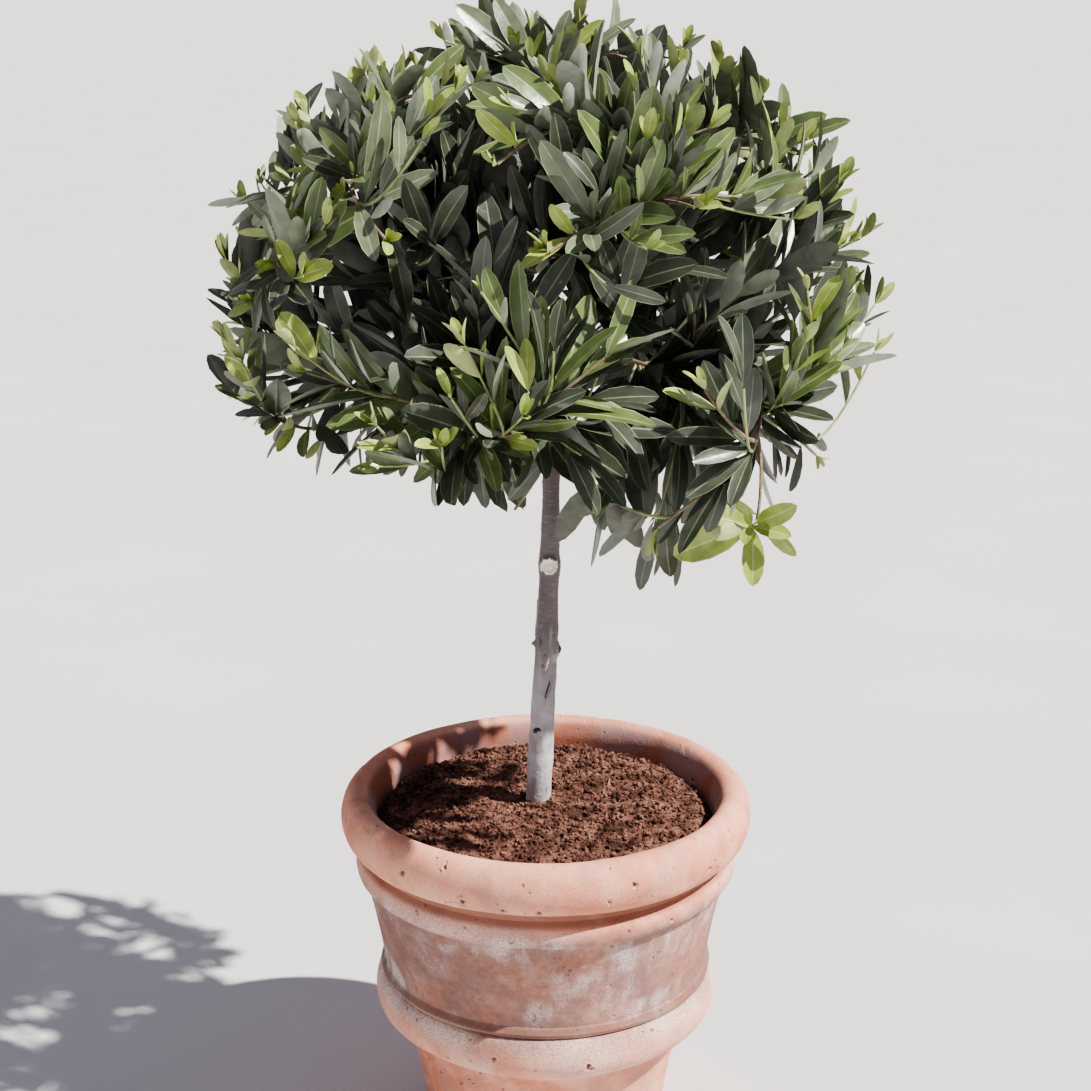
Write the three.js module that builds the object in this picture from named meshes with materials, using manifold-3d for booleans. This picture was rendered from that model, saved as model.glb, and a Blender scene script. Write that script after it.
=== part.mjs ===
// A young olive tree, trained as a ball of foliage on a bare stem, in a rolled-rim terracotta pot.
// Millimetres, +Z up. The origin is the middle of the pot's flat underside, and the front is -Y.
import * as THREE from "three";
import { mergeVertices } from "three/addons/utils/BufferGeometryUtils.js";
import Module from "manifold-3d";

const wasm = await Module();
wasm.setup();

// The air left between neighbouring pieces
const CLEAR = 0.3;

// The pot's turned outline, from the foot up
const POT_HEIGHT = 230;
const POT_FACETS = 34;
const FOOT_RADIUS = 72.2;
const FOOT_EDGE = 2.2;
const SHIN_RADIUS = 79.5;
const SHIN_LEVEL = 48.5;
const WAIST_RADIUS = 86;
const WAIST_LEVEL = 80;
const RIB_RADIUS = 105.9;
const RIB_LEVEL = 98.4;
const RIB_HALF_HEIGHT = 14.4;
const RIB_UNDERCUT = 13.5;
const RIB_SHOULDER = 5.5;
const LEDGE_RADIUS = 102.2;
const LEDGE_HEIGHT = 3.2;
const BODY_FOOT_RADIUS = 100.1;
const BODY_FOOT_LEVEL = 119.8;
const BODY_MIDDLE_RADIUS = 103.4;
const BODY_MIDDLE_LEVEL = 149;
const BODY_TOP_RADIUS = 111.4;
const BEAD_DEPTH = 4.9;
const BEAD_LEVEL = 184;
const BEAD_HALF_HEIGHT = 7.2;
const NECK_LEVEL = 193.2;
const RIM_RADIUS = 125;
const RIM_ROLL_HALF_WIDTH = 10.75;
const RIM_ROLL_HALF_HEIGHT = 15.5;
const RIM_FILLET = 2.4;

// The pot's inside
const WALL = 12.5;
const FLOOR = 14;
const FLOOR_RADIUS = 61.7;
const THROAT_LEVEL = 195;
const THROAT_RADIUS = 100.5;
const DRAIN_HOLES = 3;
const DRAIN_HOLE_RADIUS = 6;
const DRAIN_CIRCLE_RADIUS = 34;

// The potting soil: flat round the trunk, a little heaped, then low against the wall
const SOIL_LEVEL = 216.5;
const SOIL_FLAT_RADIUS = 17;
const SOIL_HEAP_RADIUS = 60;
const SOIL_HEAP_LEVEL = 218.4;
const SOIL_BANK_RADIUS = 96;
const SOIL_BANK_LEVEL = 215.4;
const SOIL_EDGE_LEVEL = 210;

// The trunk leans a little to the right and bows on its way to the fork
const TRUNK_FOOT = new THREE.Vector3(-4.6, 0, SOIL_LEVEL + CLEAR);
const TRUNK_TOP = new THREE.Vector3(4.6, 0, 488);
const TRUNK_BOW = 1.6;
const TRUNK_FOOT_RADIUS = 8.1;
const TRUNK_TOP_RADIUS = 3.7;
const TRUNK_TAPER_POWER = 1.15;
const TRUNK_FLARE = 1.9;
const TRUNK_FLARE_HEIGHT = 9;
const TRUNK_SIDES = 12;
const TRUNK_RINGS = 13;
const KNOTS = [
  { height: 28, swell: 0.9 },
  { height: 112, swell: 1.0 },
  { height: 152, swell: 1.3 },
];
const KNOT_SPREAD = 5;

// The crown, as distances from its middle to the furthest leaf tips. It droops at the front right.
const CROWN_MIDDLE = new THREE.Vector3(2, 0, 508);
const CROWN_HALF_WIDTH = 203;
const CROWN_UP = 188;
const CROWN_DOWN = 108;
const CROWN_DROOP = 62;
const DROOP_AZIMUTH = 318;
const ROUNDNESS_ABOVE = 2.06;
const ROUNDNESS_BELOW = 2.3;

// One bough carries each mass of foliage: two rings of masses, and one on top.
// Angles are in degrees, azimuth from +X towards +Y.
const LOW_RING = {
  names: ["right", "back_right", "back_left", "left", "front"],
  firstAzimuth: 324,
  elevation: -12,
  inner: 50,
  trunkLevels: [462, 440, 468, 446, 455],
};
const HIGH_RING = {
  names: ["upper_front_right", "upper_back_right", "upper_back_left", "upper_front_left"],
  firstAzimuth: 298,
  elevation: 40,
  inner: 44,
  trunkLevels: [478, 472, 481, 475],
};
const TOP = { names: ["top"], firstAzimuth: 60, elevation: 86, inner: 42, trunkLevels: [null] };
const BOUGH_FOOT_RADIUS = 3;
const BOUGH_TIP_RADIUS = 2.1;
const BOUGH_SIDES = 6;
const BOUGH_RINGS = 3;
const BOUGH_STRAIGHT_END = 0.42;
const LEADER_SWAY = new THREE.Vector3(2, -1.5, 0);

// Twigs: a stem in each mass, and shoots that spring from it and from each other
const STEM_RADIUS = 2;
const STEM_SHARE = 0.5;
const STEM_ARCH = 3;
const SHOOT_FOOT_RADIUS = 0.8;
const SHOOT_RADIUS = 1.5;
const SHOOT_TIP_RADIUS = 0.9;
const TWIG_SIDES = 3;
const TWIG_SEGMENTS = 2;
const SHOOT_TIPS = 80;
const LOWEST_TIP = -0.72;
const TIP_PULL = 0.06;
const INNER_EVERY = 6;
const INNER_SHARE = 0.55;
const SHOOT_TRIES = 6;
const SPRING_SHARES = { first: 0.12, last: 0.92, step: 0.08 };
const SPRING_TURN = 82;
const SPRING_WAY_BACK = 0.35;
const SHOOT_LEAVES_ALONG = 0.38;
const SHOOT_STRAIGHTENS = 0.35;
const SHOOT_ARCH = 0.06;

// Leaves, in opposite pairs, larger than life because there are fewer of them
const NODE_SPACING = 25;
const FIRST_NODE = 0.28;
const LAST_NODE = 0.97;
const LAST_PAIR_FOLD = 0.6;
const PAIR_STAGGER = 2;
const LEAF_LENGTH = { least: 62, most: 84 };
const LEAF_ANGLE = { least: 38, most: 58 };
const LEAF_WIDTH_SHARE = 0.32;
const LEAF_THICKNESS = 1.3;
const LEAF_RIDGE_SHARE = 0.22;
const LEAF_ROOT_SUNK = 0.4;
const LEAF_TRIES = 12;
const LEAF_TRY_TURN = { least: 0.4, most: 1.1 };
const LEAF_TRY_SHORTER = 0.03;

// Room kept from the next mass and from the limbs, and the shortest edge that fusing may leave
const CELL_MARGIN = 0.4;
const LIMB_MARGIN = 1.2;
const SHORTEST_EDGE = 0.004;

const { degToRad: rad, lerp, mapLinear, clamp } = THREE.MathUtils;
const fraction = (value) => value - Math.floor(value);
const UP = new THREE.Vector3(0, 0, 1);

// Seeded random numbers from a linear congruential rule
class Dice {
  constructor(seed) {
    this.state = seed;
  }
  next() {
    this.state = (this.state * 1664525 + 1013904223) % 2 ** 32;
    return this.state / 2 ** 32;
  }
  within({ least, most }) {
    return lerp(least, most, this.next());
  }
}

// A closed solid from a three.js geometry, and the geometry of a solid
function solidOf(geometry) {
  const bare = geometry.clone();
  bare.deleteAttribute("normal");
  bare.deleteAttribute("uv");
  const merged = mergeVertices(bare, 1e-4);
  const corners = merged.index.array;
  const faces = [];
  for (let i = 0; i < corners.length; i += 3) {
    const [a, b, c] = corners.slice(i, i + 3);
    if (a !== b && b !== c && c !== a) faces.push(a, b, c);
  }
  return new wasm.Manifold(
    new wasm.Mesh({
      numProp: 3,
      vertProperties: merged.attributes.position.array,
      triVerts: new Uint32Array(faces),
    }),
  );
}

function geometryOf(solid) {
  const mesh = solid.getMesh();
  const geometry = new THREE.BufferGeometry();
  geometry.setAttribute("position", new THREE.BufferAttribute(mesh.vertProperties, 3));
  geometry.setIndex(new THREE.BufferAttribute(mesh.triVerts, 1));
  geometry.computeVertexNormals();
  return geometry;
}

function cornersOf(solid) {
  const { vertProperties } = solid.getMesh();
  const corners = [];
  for (let i = 0; i < vertProperties.length; i += 3) {
    corners.push(new THREE.Vector3().fromArray(vertProperties, i));
  }
  return corners;
}

// The outer body of a solid, without sealed hollows and loose scraps
function largestBody(solid) {
  return solid.decompose().reduce((a, b) => (b.volume() > a.volume() ? b : a));
}

// Two solids fused, or null where they meet so closely that the seam would hold a sliver
function fused(body, piece) {
  const solid = body.add(piece);
  const { vertProperties, triVerts } = solid.getMesh();
  const ends = [new THREE.Vector3(), new THREE.Vector3()];
  for (let i = 0; i < triVerts.length; i++) {
    const next = i % 3 === 2 ? i - 2 : i + 1;
    ends[0].fromArray(vertProperties, 3 * triVerts[i]);
    ends[1].fromArray(vertProperties, 3 * triVerts[next]);
    if (ends[0].distanceTo(ends[1]) < SHORTEST_EDGE) return null;
  }
  return solid;
}

// A round body turned about the vertical axis
function turned(outline) {
  const geometry = new THREE.LatheGeometry(outline, POT_FACETS);
  geometry.rotateX(Math.PI / 2);
  return solidOf(geometry);
}

const at = (radius, level) => new THREE.Vector2(radius, level);

// Points along an arc of an ellipse in a turned outline, angles in degrees
function arc(middle, acrossRadius, upRadius, fromAngle, toAngle, steps) {
  const points = [];
  for (let i = 0; i <= steps; i++) {
    const angle = rad(lerp(fromAngle, toAngle, i / steps));
    points.push(at(middle.x + acrossRadius * Math.cos(angle), middle.y + upRadius * Math.sin(angle)));
  }
  return points;
}

// The pot's inner wall from the floor to the lip
const LIP_RADIUS = RIM_RADIUS - 2 * RIM_ROLL_HALF_WIDTH;
const RIB_TOP_LEVEL = RIB_LEVEL + RIB_HALF_HEIGHT;
const INNER_WALL = [
  at(FLOOR_RADIUS, FLOOR),
  at(WAIST_RADIUS - WALL, WAIST_LEVEL),
  at(RIB_RADIUS - RIB_SHOULDER - WALL, RIB_TOP_LEVEL),
  at(THROAT_RADIUS, THROAT_LEVEL),
  at(LIP_RADIUS, POT_HEIGHT - RIM_ROLL_HALF_HEIGHT),
];

function innerWallRadius(level) {
  const above = Math.max(1, INNER_WALL.findIndex((point) => point.y >= level));
  const [low, high] = [INNER_WALL[above - 1], INNER_WALL[above]];
  return mapLinear(level, low.y, high.y, low.x, high.x);
}

// The pot: foot, lower body, heavy rib under a ledge, flaring body, bead and rolled rim
function potSolid() {
  const ribMiddle = at(RIB_RADIUS - RIB_UNDERCUT, RIB_LEVEL);
  const ribGroove = at(RIB_RADIUS - RIB_SHOULDER, RIB_LEVEL);
  const beadFoot = at(BODY_TOP_RADIUS, BEAD_LEVEL - BEAD_HALF_HEIGHT);
  const rimMiddle = at(RIM_RADIUS - RIM_ROLL_HALF_WIDTH, POT_HEIGHT - RIM_ROLL_HALF_HEIGHT);
  const body = new THREE.QuadraticBezierCurve(
    at(BODY_FOOT_RADIUS, BODY_FOOT_LEVEL),
    at(BODY_MIDDLE_RADIUS, BODY_MIDDLE_LEVEL),
    beadFoot,
  );
  const outside = [
    at(0, 0),
    at(FOOT_RADIUS - FOOT_EDGE, 0),
    at(FOOT_RADIUS, FOOT_EDGE),
    at(SHIN_RADIUS, SHIN_LEVEL),
    at(WAIST_RADIUS, WAIST_LEVEL),
    ...arc(ribMiddle, RIB_UNDERCUT, RIB_HALF_HEIGHT, -82, 0, 3),
    ...arc(ribGroove, RIB_SHOULDER, RIB_HALF_HEIGHT, 45, 90, 1),
    at(LEDGE_RADIUS, RIB_TOP_LEVEL + 0.4 * LEDGE_HEIGHT),
    at(LEDGE_RADIUS, RIB_TOP_LEVEL + 1.4 * LEDGE_HEIGHT),
    ...body.getPoints(3),
    ...arc(at(BODY_TOP_RADIUS, BEAD_LEVEL), BEAD_DEPTH, BEAD_HALF_HEIGHT, -66, 66, 3),
    at(BODY_TOP_RADIUS, NECK_LEVEL),
    at(rimMiddle.x - RIM_FILLET, rimMiddle.y - RIM_ROLL_HALF_HEIGHT - RIM_FILLET),
    ...arc(rimMiddle, RIM_ROLL_HALF_WIDTH, RIM_ROLL_HALF_HEIGHT, -76, 180, 8),
  ];
  const inside = INNER_WALL.slice(0, -1).reverse();
  const pot = turned([...outside, ...inside, at(0, FLOOR)]);
  const drill = new THREE.CylinderGeometry(DRAIN_HOLE_RADIUS, DRAIN_HOLE_RADIUS, 3 * FLOOR, 12);
  drill.rotateX(Math.PI / 2);
  drill.translate(0, DRAIN_CIRCLE_RADIUS, 0);
  let drilled = pot;
  for (let i = 0; i < DRAIN_HOLES; i++) {
    drilled = drilled.subtract(solidOf(drill));
    drill.rotateZ((2 * Math.PI) / DRAIN_HOLES);
  }
  return drilled;
}

// The soil fills the pot up to just under its lip
function soilSolid() {
  const wallLevels = [FLOOR + CLEAR, WAIST_LEVEL, RIB_TOP_LEVEL, THROAT_LEVEL, SOIL_EDGE_LEVEL];
  return turned([
    at(0, FLOOR + CLEAR),
    ...wallLevels.map((level) => at(innerWallRadius(level) - 2 * CLEAR, level)),
    at(SOIL_BANK_RADIUS, SOIL_BANK_LEVEL),
    at(SOIL_HEAP_RADIUS, SOIL_HEAP_LEVEL),
    at(SOIL_FLAT_RADIUS, SOIL_LEVEL),
    at(0, SOIL_LEVEL),
  ]);
}

const trunkLength = TRUNK_TOP.z - TRUNK_FOOT.z;

function trunkPoint(share) {
  const point = TRUNK_FOOT.clone().lerp(TRUNK_TOP, share);
  point.x += TRUNK_BOW * Math.sin(Math.PI * share);
  return point;
}

function trunkRadius(share) {
  const height = share * trunkLength;
  let radius = lerp(TRUNK_FOOT_RADIUS, TRUNK_TOP_RADIUS, share ** TRUNK_TAPER_POWER);
  radius += TRUNK_FLARE * Math.exp(-height / TRUNK_FLARE_HEIGHT);
  for (const knot of KNOTS) {
    radius += knot.swell * Math.exp(-(((height - knot.height) / KNOT_SPREAD) ** 2));
  }
  return radius;
}

// Level rings up the trunk, so that its foot is cut flat where it stands on the soil
function trunkSolid(wider) {
  const geometry = new THREE.CylinderGeometry(1, 1, trunkLength, TRUNK_SIDES, TRUNK_RINGS);
  geometry.rotateX(Math.PI / 2);
  const position = geometry.attributes.position;
  for (let i = 0; i < position.count; i++) {
    const share = clamp(position.getZ(i) / trunkLength + 0.5, 0, 1);
    const middle = trunkPoint(share);
    const radius = trunkRadius(share) + wider;
    middle.x += radius * position.getX(i);
    middle.y += radius * position.getY(i);
    position.setXYZ(i, middle.x, middle.y, middle.z);
  }
  return solidOf(geometry);
}

// A tapering limb: a cylinder whose rings are carried onto a curve
function limbSolid(curve, radiusAt, sides, rings) {
  const geometry = new THREE.CylinderGeometry(1, 1, 1, sides, rings);
  const frames = curve.computeFrenetFrames(rings, false);
  const position = geometry.attributes.position;
  for (let i = 0; i < position.count; i++) {
    const ring = Math.round((position.getY(i) + 0.5) * rings);
    const radius = radiusAt(ring / rings);
    const point = curve.getPointAt(ring / rings);
    point.addScaledVector(frames.normals[ring], radius * position.getZ(i));
    point.addScaledVector(frames.binormals[ring], radius * position.getX(i));
    position.setXYZ(i, point.x, point.y, point.z);
  }
  return solidOf(geometry);
}

function direction(azimuth, elevation) {
  const level = Math.cos(rad(elevation));
  return new THREE.Vector3(
    level * Math.cos(rad(azimuth)),
    level * Math.sin(rad(azimuth)),
    Math.sin(rad(elevation)),
  );
}

// Each mass: the direction of its middle, where its bough ends, and the seed of its twigs
const masses = [LOW_RING, HIGH_RING, TOP].flatMap((ring) =>
  ring.names.map((name, i) => {
    const towards = direction(ring.firstAzimuth + (i * 360) / ring.names.length, ring.elevation);
    const start = CROWN_MIDDLE.clone().addScaledVector(towards, ring.inner);
    return { name, towards, start, inner: ring.inner, trunkLevel: ring.trunkLevels[i] };
  }),
);
masses.forEach((mass, i) => {
  mass.seed = 101 + 37 * i;
});

function ownerOf(towards) {
  return masses.reduce((a, b) => (towards.dot(b.towards) > towards.dot(a.towards) ? b : a));
}

// How far the crown's leaf tips reach from its middle in a direction
function reach(towards) {
  const turn = Math.atan2(towards.y, towards.x) - rad(DROOP_AZIMUTH);
  const below = CROWN_DOWN + CROWN_DROOP * Math.max(0, Math.cos(turn)) ** 3;
  const vertical = towards.z > 0 ? CROWN_UP : below;
  const power = towards.z > 0 ? ROUNDNESS_ABOVE : ROUNDNESS_BELOW;
  const across = Math.hypot(towards.x, towards.y) / CROWN_HALF_WIDTH;
  return (across ** power + (Math.abs(towards.z) / vertical) ** power) ** (-1 / power);
}

// A bough leaves the trunk upwards, bends out and ends square to its mass
function boughCurve(mass) {
  if (mass.trunkLevel === null) {
    const foot = TRUNK_TOP.clone().addScaledVector(UP, CLEAR);
    const bend = foot.clone().lerp(mass.start, 0.5).add(LEADER_SWAY);
    return new THREE.QuadraticBezierCurve3(foot, bend, mass.start);
  }
  const foot = trunkPoint((mass.trunkLevel - TRUNK_FOOT.z) / trunkLength);
  const straight = BOUGH_STRAIGHT_END * foot.distanceTo(mass.start);
  const bend = mass.start.clone().addScaledVector(mass.towards, -straight);
  return new THREE.QuadraticBezierCurve3(foot, bend, mass.start);
}

const boughRadius = (share) => lerp(BOUGH_FOOT_RADIUS, BOUGH_TIP_RADIUS, share);

// The trunk, then each bough cut clear of the trunk and of the boughs before it
const trunk = trunkSolid(0);
const boughs = [];
const limbBalls = [];

function growLimbs() {
  const taken = [trunkSolid(CLEAR)];
  for (let share = 0; share <= 1; share += 1 / 60) {
    limbBalls.push(new THREE.Sphere(trunkPoint(share), trunkRadius(share) + LIMB_MARGIN));
  }
  for (const mass of masses) {
    const curve = boughCurve(mass);
    let bough = limbSolid(curve, boughRadius, BOUGH_SIDES, BOUGH_RINGS);
    for (const other of taken) bough = bough.subtract(other);
    boughs.push({ name: `bough_${mass.name}`, solid: largestBody(bough) });
    taken.push(limbSolid(curve, (share) => boughRadius(share) + CLEAR, BOUGH_SIDES, BOUGH_RINGS));
    for (let share = 0; share <= 1; share += 1 / 24) {
      limbBalls.push(new THREE.Sphere(curve.getPointAt(share), boughRadius(share) + LIMB_MARGIN));
    }
  }
}

growLimbs();

// True if the points are clear of the limbs, in the mass's share of the crown and in its reach
function fits(points, mass) {
  const border = new THREE.Vector3();
  return points.every((point) => {
    if (limbBalls.some((ball) => ball.containsPoint(point))) return false;
    const offset = point.clone().sub(CROWN_MIDDLE);
    if (offset.length() > reach(offset.clone().normalize())) return false;
    return masses.every((other) => {
      border.subVectors(mass.towards, other.towards).normalize();
      return other === mass || offset.dot(border) > CELL_MARGIN;
    });
  });
}

// Directions spread evenly over the crown, of which the first few are even too:
// both shares step by powers of the plastic ratio
function spreadDirection(index) {
  const ratio = 1.324718;
  const height = lerp(1, LOWEST_TIP, fraction(0.5 + index / ratio));
  const azimuth = 2 * Math.PI * fraction(0.5 + index / ratio ** 2);
  const across = Math.sqrt(1 - height * height);
  return new THREE.Vector3(across * Math.cos(azimuth), across * Math.sin(azimuth), height);
}

// Where a mass's shoots end, nearest first: most at its outside, some inside it
function shootTips(mass) {
  const tips = [];
  for (let i = 0; i < SHOOT_TIPS; i++) {
    const towards = spreadDirection(i);
    if (ownerOf(towards) !== mass) continue;
    towards.lerp(mass.towards, TIP_PULL).normalize();
    const outermost = reach(towards) - 0.5 * LEAF_LENGTH.least;
    const inside = i % INNER_EVERY === INNER_EVERY - 1;
    const distance = inside ? lerp(mass.inner, outermost, INNER_SHARE) : outermost;
    tips.push(CROWN_MIDDLE.clone().addScaledVector(towards, distance));
  }
  return tips.sort((a, b) => a.distanceTo(mass.start) - b.distanceTo(mass.start));
}

// A twig's axis: straight between joints that are an equal way apart along a curve
class JointedCurve extends THREE.Curve {
  constructor(curve) {
    super();
    this.joints = curve.getSpacedPoints(TWIG_SEGMENTS);
  }
  getPoint(share, target = new THREE.Vector3()) {
    const scaled = share * TWIG_SEGMENTS;
    const joint = Math.min(Math.floor(scaled), TWIG_SEGMENTS - 1);
    return target.lerpVectors(this.joints[joint], this.joints[joint + 1], scaled - joint);
  }
  getPointAt(share, target) {
    return this.getPoint(share, target);
  }
}

// A twig is slim where it leaves its parent, then thicker, then it tapers
function twigOn(points, footRadius, radius, wayBack) {
  const curve = new JointedCurve(new THREE.QuadraticBezierCurve3(...points));
  const radiusAt = (share) => (share > 0 ? lerp(radius, SHOOT_TIP_RADIUS, share) : footRadius);
  const solid = limbSolid(curve, radiusAt, TWIG_SIDES, TWIG_SEGMENTS);
  return { curve, solid, length: curve.getLength(), wayBack };
}

// The stem carries on from the bough's tip
function stemOf(mass) {
  const length = STEM_SHARE * (reach(mass.towards) - mass.inner);
  const along = (distance) => mass.start.clone().addScaledVector(mass.towards, distance);
  const bend = along(0.5 * length).addScaledVector(UP, STEM_ARCH);
  return twigOn([along(CLEAR), bend, along(length)], STEM_RADIUS, STEM_RADIUS, 0);
}

// A shoot springs from the nearest place on the twigs so far, counting some of the way back
function shootTo(tip, twigs, dice) {
  let best = null;
  const { first, last, step } = SPRING_SHARES;
  const shifted = first + step * dice.next();
  for (const twig of twigs) {
    for (let share = shifted; share <= last; share += step) {
      const foot = twig.curve.getPointAt(share);
      const along = twig.curve.getTangentAt(share);
      const wayBack = twig.wayBack + share * twig.length;
      const straight = foot.distanceTo(tip);
      const cost = straight + SPRING_WAY_BACK * wayBack;
      const turn = along.angleTo(tip.clone().sub(foot));
      if (turn < rad(SPRING_TURN) && (!best || cost < best.cost)) {
        best = { foot, along, wayBack, straight, cost };
      }
    }
  }
  if (!best) return null;
  const { foot, along, wayBack, straight } = best;
  const bend = foot.clone().addScaledVector(along, SHOOT_LEAVES_ALONG * straight);
  bend.lerp(foot.clone().lerp(tip, 0.5), SHOOT_STRAIGHTENS);
  bend.addScaledVector(UP, SHOOT_ARCH * straight);
  return twigOn([foot, bend, tip], SHOOT_FOOT_RADIUS, SHOOT_RADIUS, wayBack);
}

// Places for opposite pairs of leaves along a twig, each pair a quarter turn from the last
function leafNodes(twig, dice) {
  const pairs = Math.max(1, Math.round(((1 - FIRST_NODE) * twig.length) / NODE_SPACING));
  const firstTurn = dice.within({ least: 0, most: Math.PI });
  const nodes = [];
  for (let pair = 0; pair <= pairs; pair++) {
    const share = lerp(FIRST_NODE, LAST_NODE, pair / pairs);
    const point = twig.curve.getPointAt(share);
    const along = twig.curve.getTangentAt(share);
    const turn = firstTurn + (pair * Math.PI) / 2;
    const fold = pair === pairs ? LAST_PAIR_FOLD : 1;
    nodes.push({ twig, point, along, turn, fold, out: point.distanceTo(CROWN_MIDDLE) });
  }
  return nodes;
}

// An eight-faced blade: tip, root, upper and under ridge, right and left edge
function leafCorners(root, pointing, face, length) {
  const side = new THREE.Vector3().crossVectors(face, pointing).normalize();
  const upper = new THREE.Vector3().crossVectors(pointing, side);
  const halfWidth = 0.5 * LEAF_WIDTH_SHARE * length;
  const corner = (share, sideways, lift) => {
    const point = root.clone().addScaledVector(pointing, share * length);
    return point.addScaledVector(side, sideways).addScaledVector(upper, lift);
  };
  return [
    corner(1, 0, 0),
    corner(0, 0, 0),
    corner(LEAF_RIDGE_SHARE, 0, 0.5 * LEAF_THICKNESS),
    corner(LEAF_RIDGE_SHARE, 0, -0.5 * LEAF_THICKNESS),
    corner(0.5, -halfWidth, 0),
    corner(0.5, halfWidth, 0),
  ];
}

// An octahedron with its six corners, +X, -X, +Y, -Y, +Z and -Z, moved onto the leaf's
function leafSolid(corners) {
  const geometry = new THREE.OctahedronGeometry(1);
  const position = geometry.attributes.position;
  for (let i = 0; i < position.count; i++) {
    const place = [position.getX(i), position.getY(i), position.getZ(i)];
    const axis = place.findIndex((value) => Math.abs(value) > 0.5);
    const { x, y, z } = corners[2 * axis + (place[axis] > 0 ? 0 : 1)];
    position.setXYZ(i, x, y, z);
  }
  return solidOf(geometry);
}

const pieceOf = (solid, owner) => ({ solid, owner, box: solid.boundingBox() });

function addPiece(piece, mass) {
  const body = mass.body ? fused(mass.body, piece.solid) : piece.solid;
  if (!body) return false;
  mass.body = body;
  mass.pieces.push(piece);
  return true;
}

function touching(a, b) {
  for (let axis = 0; axis < 3; axis++) {
    if (a.box.min[axis] > b.box.max[axis] || b.box.min[axis] > a.box.max[axis]) return false;
  }
  return !a.solid.intersect(b.solid).isEmpty();
}

// One shoot is tried from a few places
function addShoot(tip, mass, dice) {
  const twigs = mass.pieces.map(({ owner }) => owner);
  for (let attempt = 0; attempt < SHOOT_TRIES; attempt++) {
    const shoot = shootTo(tip, twigs, dice);
    if (!shoot || !fits(cornersOf(shoot.solid), mass)) continue;
    if (addPiece(pieceOf(shoot.solid, shoot), mass)) return;
  }
}

// One leaf of a pair is tried at a few angles, and left out if none has room
function addLeaf(node, half, mass, dice) {
  const sideways = new THREE.Vector3().crossVectors(node.along, UP);
  if (sideways.length() < 0.1) sideways.set(1, 0, 0);
  sideways.normalize();
  const foot = node.point.clone().addScaledVector(node.along, -half * PAIR_STAGGER);
  for (let attempt = 0; attempt < LEAF_TRIES; attempt++) {
    const turn = node.turn + half * Math.PI + attempt * dice.within(LEAF_TRY_TURN);
    const angle = node.fold * rad(dice.within(LEAF_ANGLE));
    const length = dice.within(LEAF_LENGTH) * (1 - LEAF_TRY_SHORTER * attempt);
    const pointing = node.along.clone().multiplyScalar(Math.cos(angle));
    pointing.addScaledVector(sideways.clone().applyAxisAngle(node.along, turn), Math.sin(angle));
    const root = foot.clone().addScaledVector(pointing, -LEAF_ROOT_SUNK);
    const corners = leafCorners(root, pointing, node.along, length);
    const midrib = [0.2, 0.4, 0.6, 0.8].map((share) => root.clone().lerp(corners[0], share));
    if (!fits([...corners, ...midrib], mass)) continue;
    const leaf = pieceOf(leafSolid(corners), node);
    const others = mass.pieces.filter(({ owner }) => owner !== node && owner !== node.twig);
    if (others.some((other) => touching(leaf, other))) continue;
    if (addPiece(leaf, mass)) return;
  }
}

// One mass: its stem and shoots, then leaves from the outermost pair inwards, all fused
function foliageSolid(mass) {
  const dice = new Dice(mass.seed);
  const stem = stemOf(mass);
  mass.pieces = [];
  addPiece(pieceOf(stem.solid, stem), mass);
  for (const tip of shootTips(mass)) addShoot(tip, mass, dice);
  const nodes = mass.pieces.flatMap(({ owner }) => leafNodes(owner, dice));
  nodes.sort((a, b) => b.out - a.out);
  for (const node of nodes) {
    addLeaf(node, 0, mass, dice);
    addLeaf(node, 1, mass, dice);
  }
  return largestBody(mass.body);
}

const terracotta = new THREE.MeshStandardMaterial({ color: 0xc98d74, roughness: 0.92 });
const soilBrown = new THREE.MeshStandardMaterial({ color: 0x5a3626, roughness: 1 });
const bark = new THREE.MeshStandardMaterial({ color: 0x8f8a85, roughness: 0.85 });
const youngBark = new THREE.MeshStandardMaterial({ color: 0x7d6c58, roughness: 0.8 });
const foliage = new THREE.MeshStandardMaterial({ color: 0x56623c, roughness: 0.5 });

const tree = new THREE.Group();

function place(name, solid, material) {
  const mesh = new THREE.Mesh(geometryOf(solid), material);
  mesh.name = name;
  tree.add(mesh);
}

place("pot", potSolid(), terracotta);
place("potting_soil", soilSolid(), soilBrown);
place("trunk", trunk, bark);
for (const { name, solid } of boughs) place(name, solid, youngBark);
for (const mass of masses) place(`foliage_${mass.name}`, foliageSolid(mass), foliage);

export default tree;
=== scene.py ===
import math

import bpy
import numpy as np
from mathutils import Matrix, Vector, noise


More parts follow.
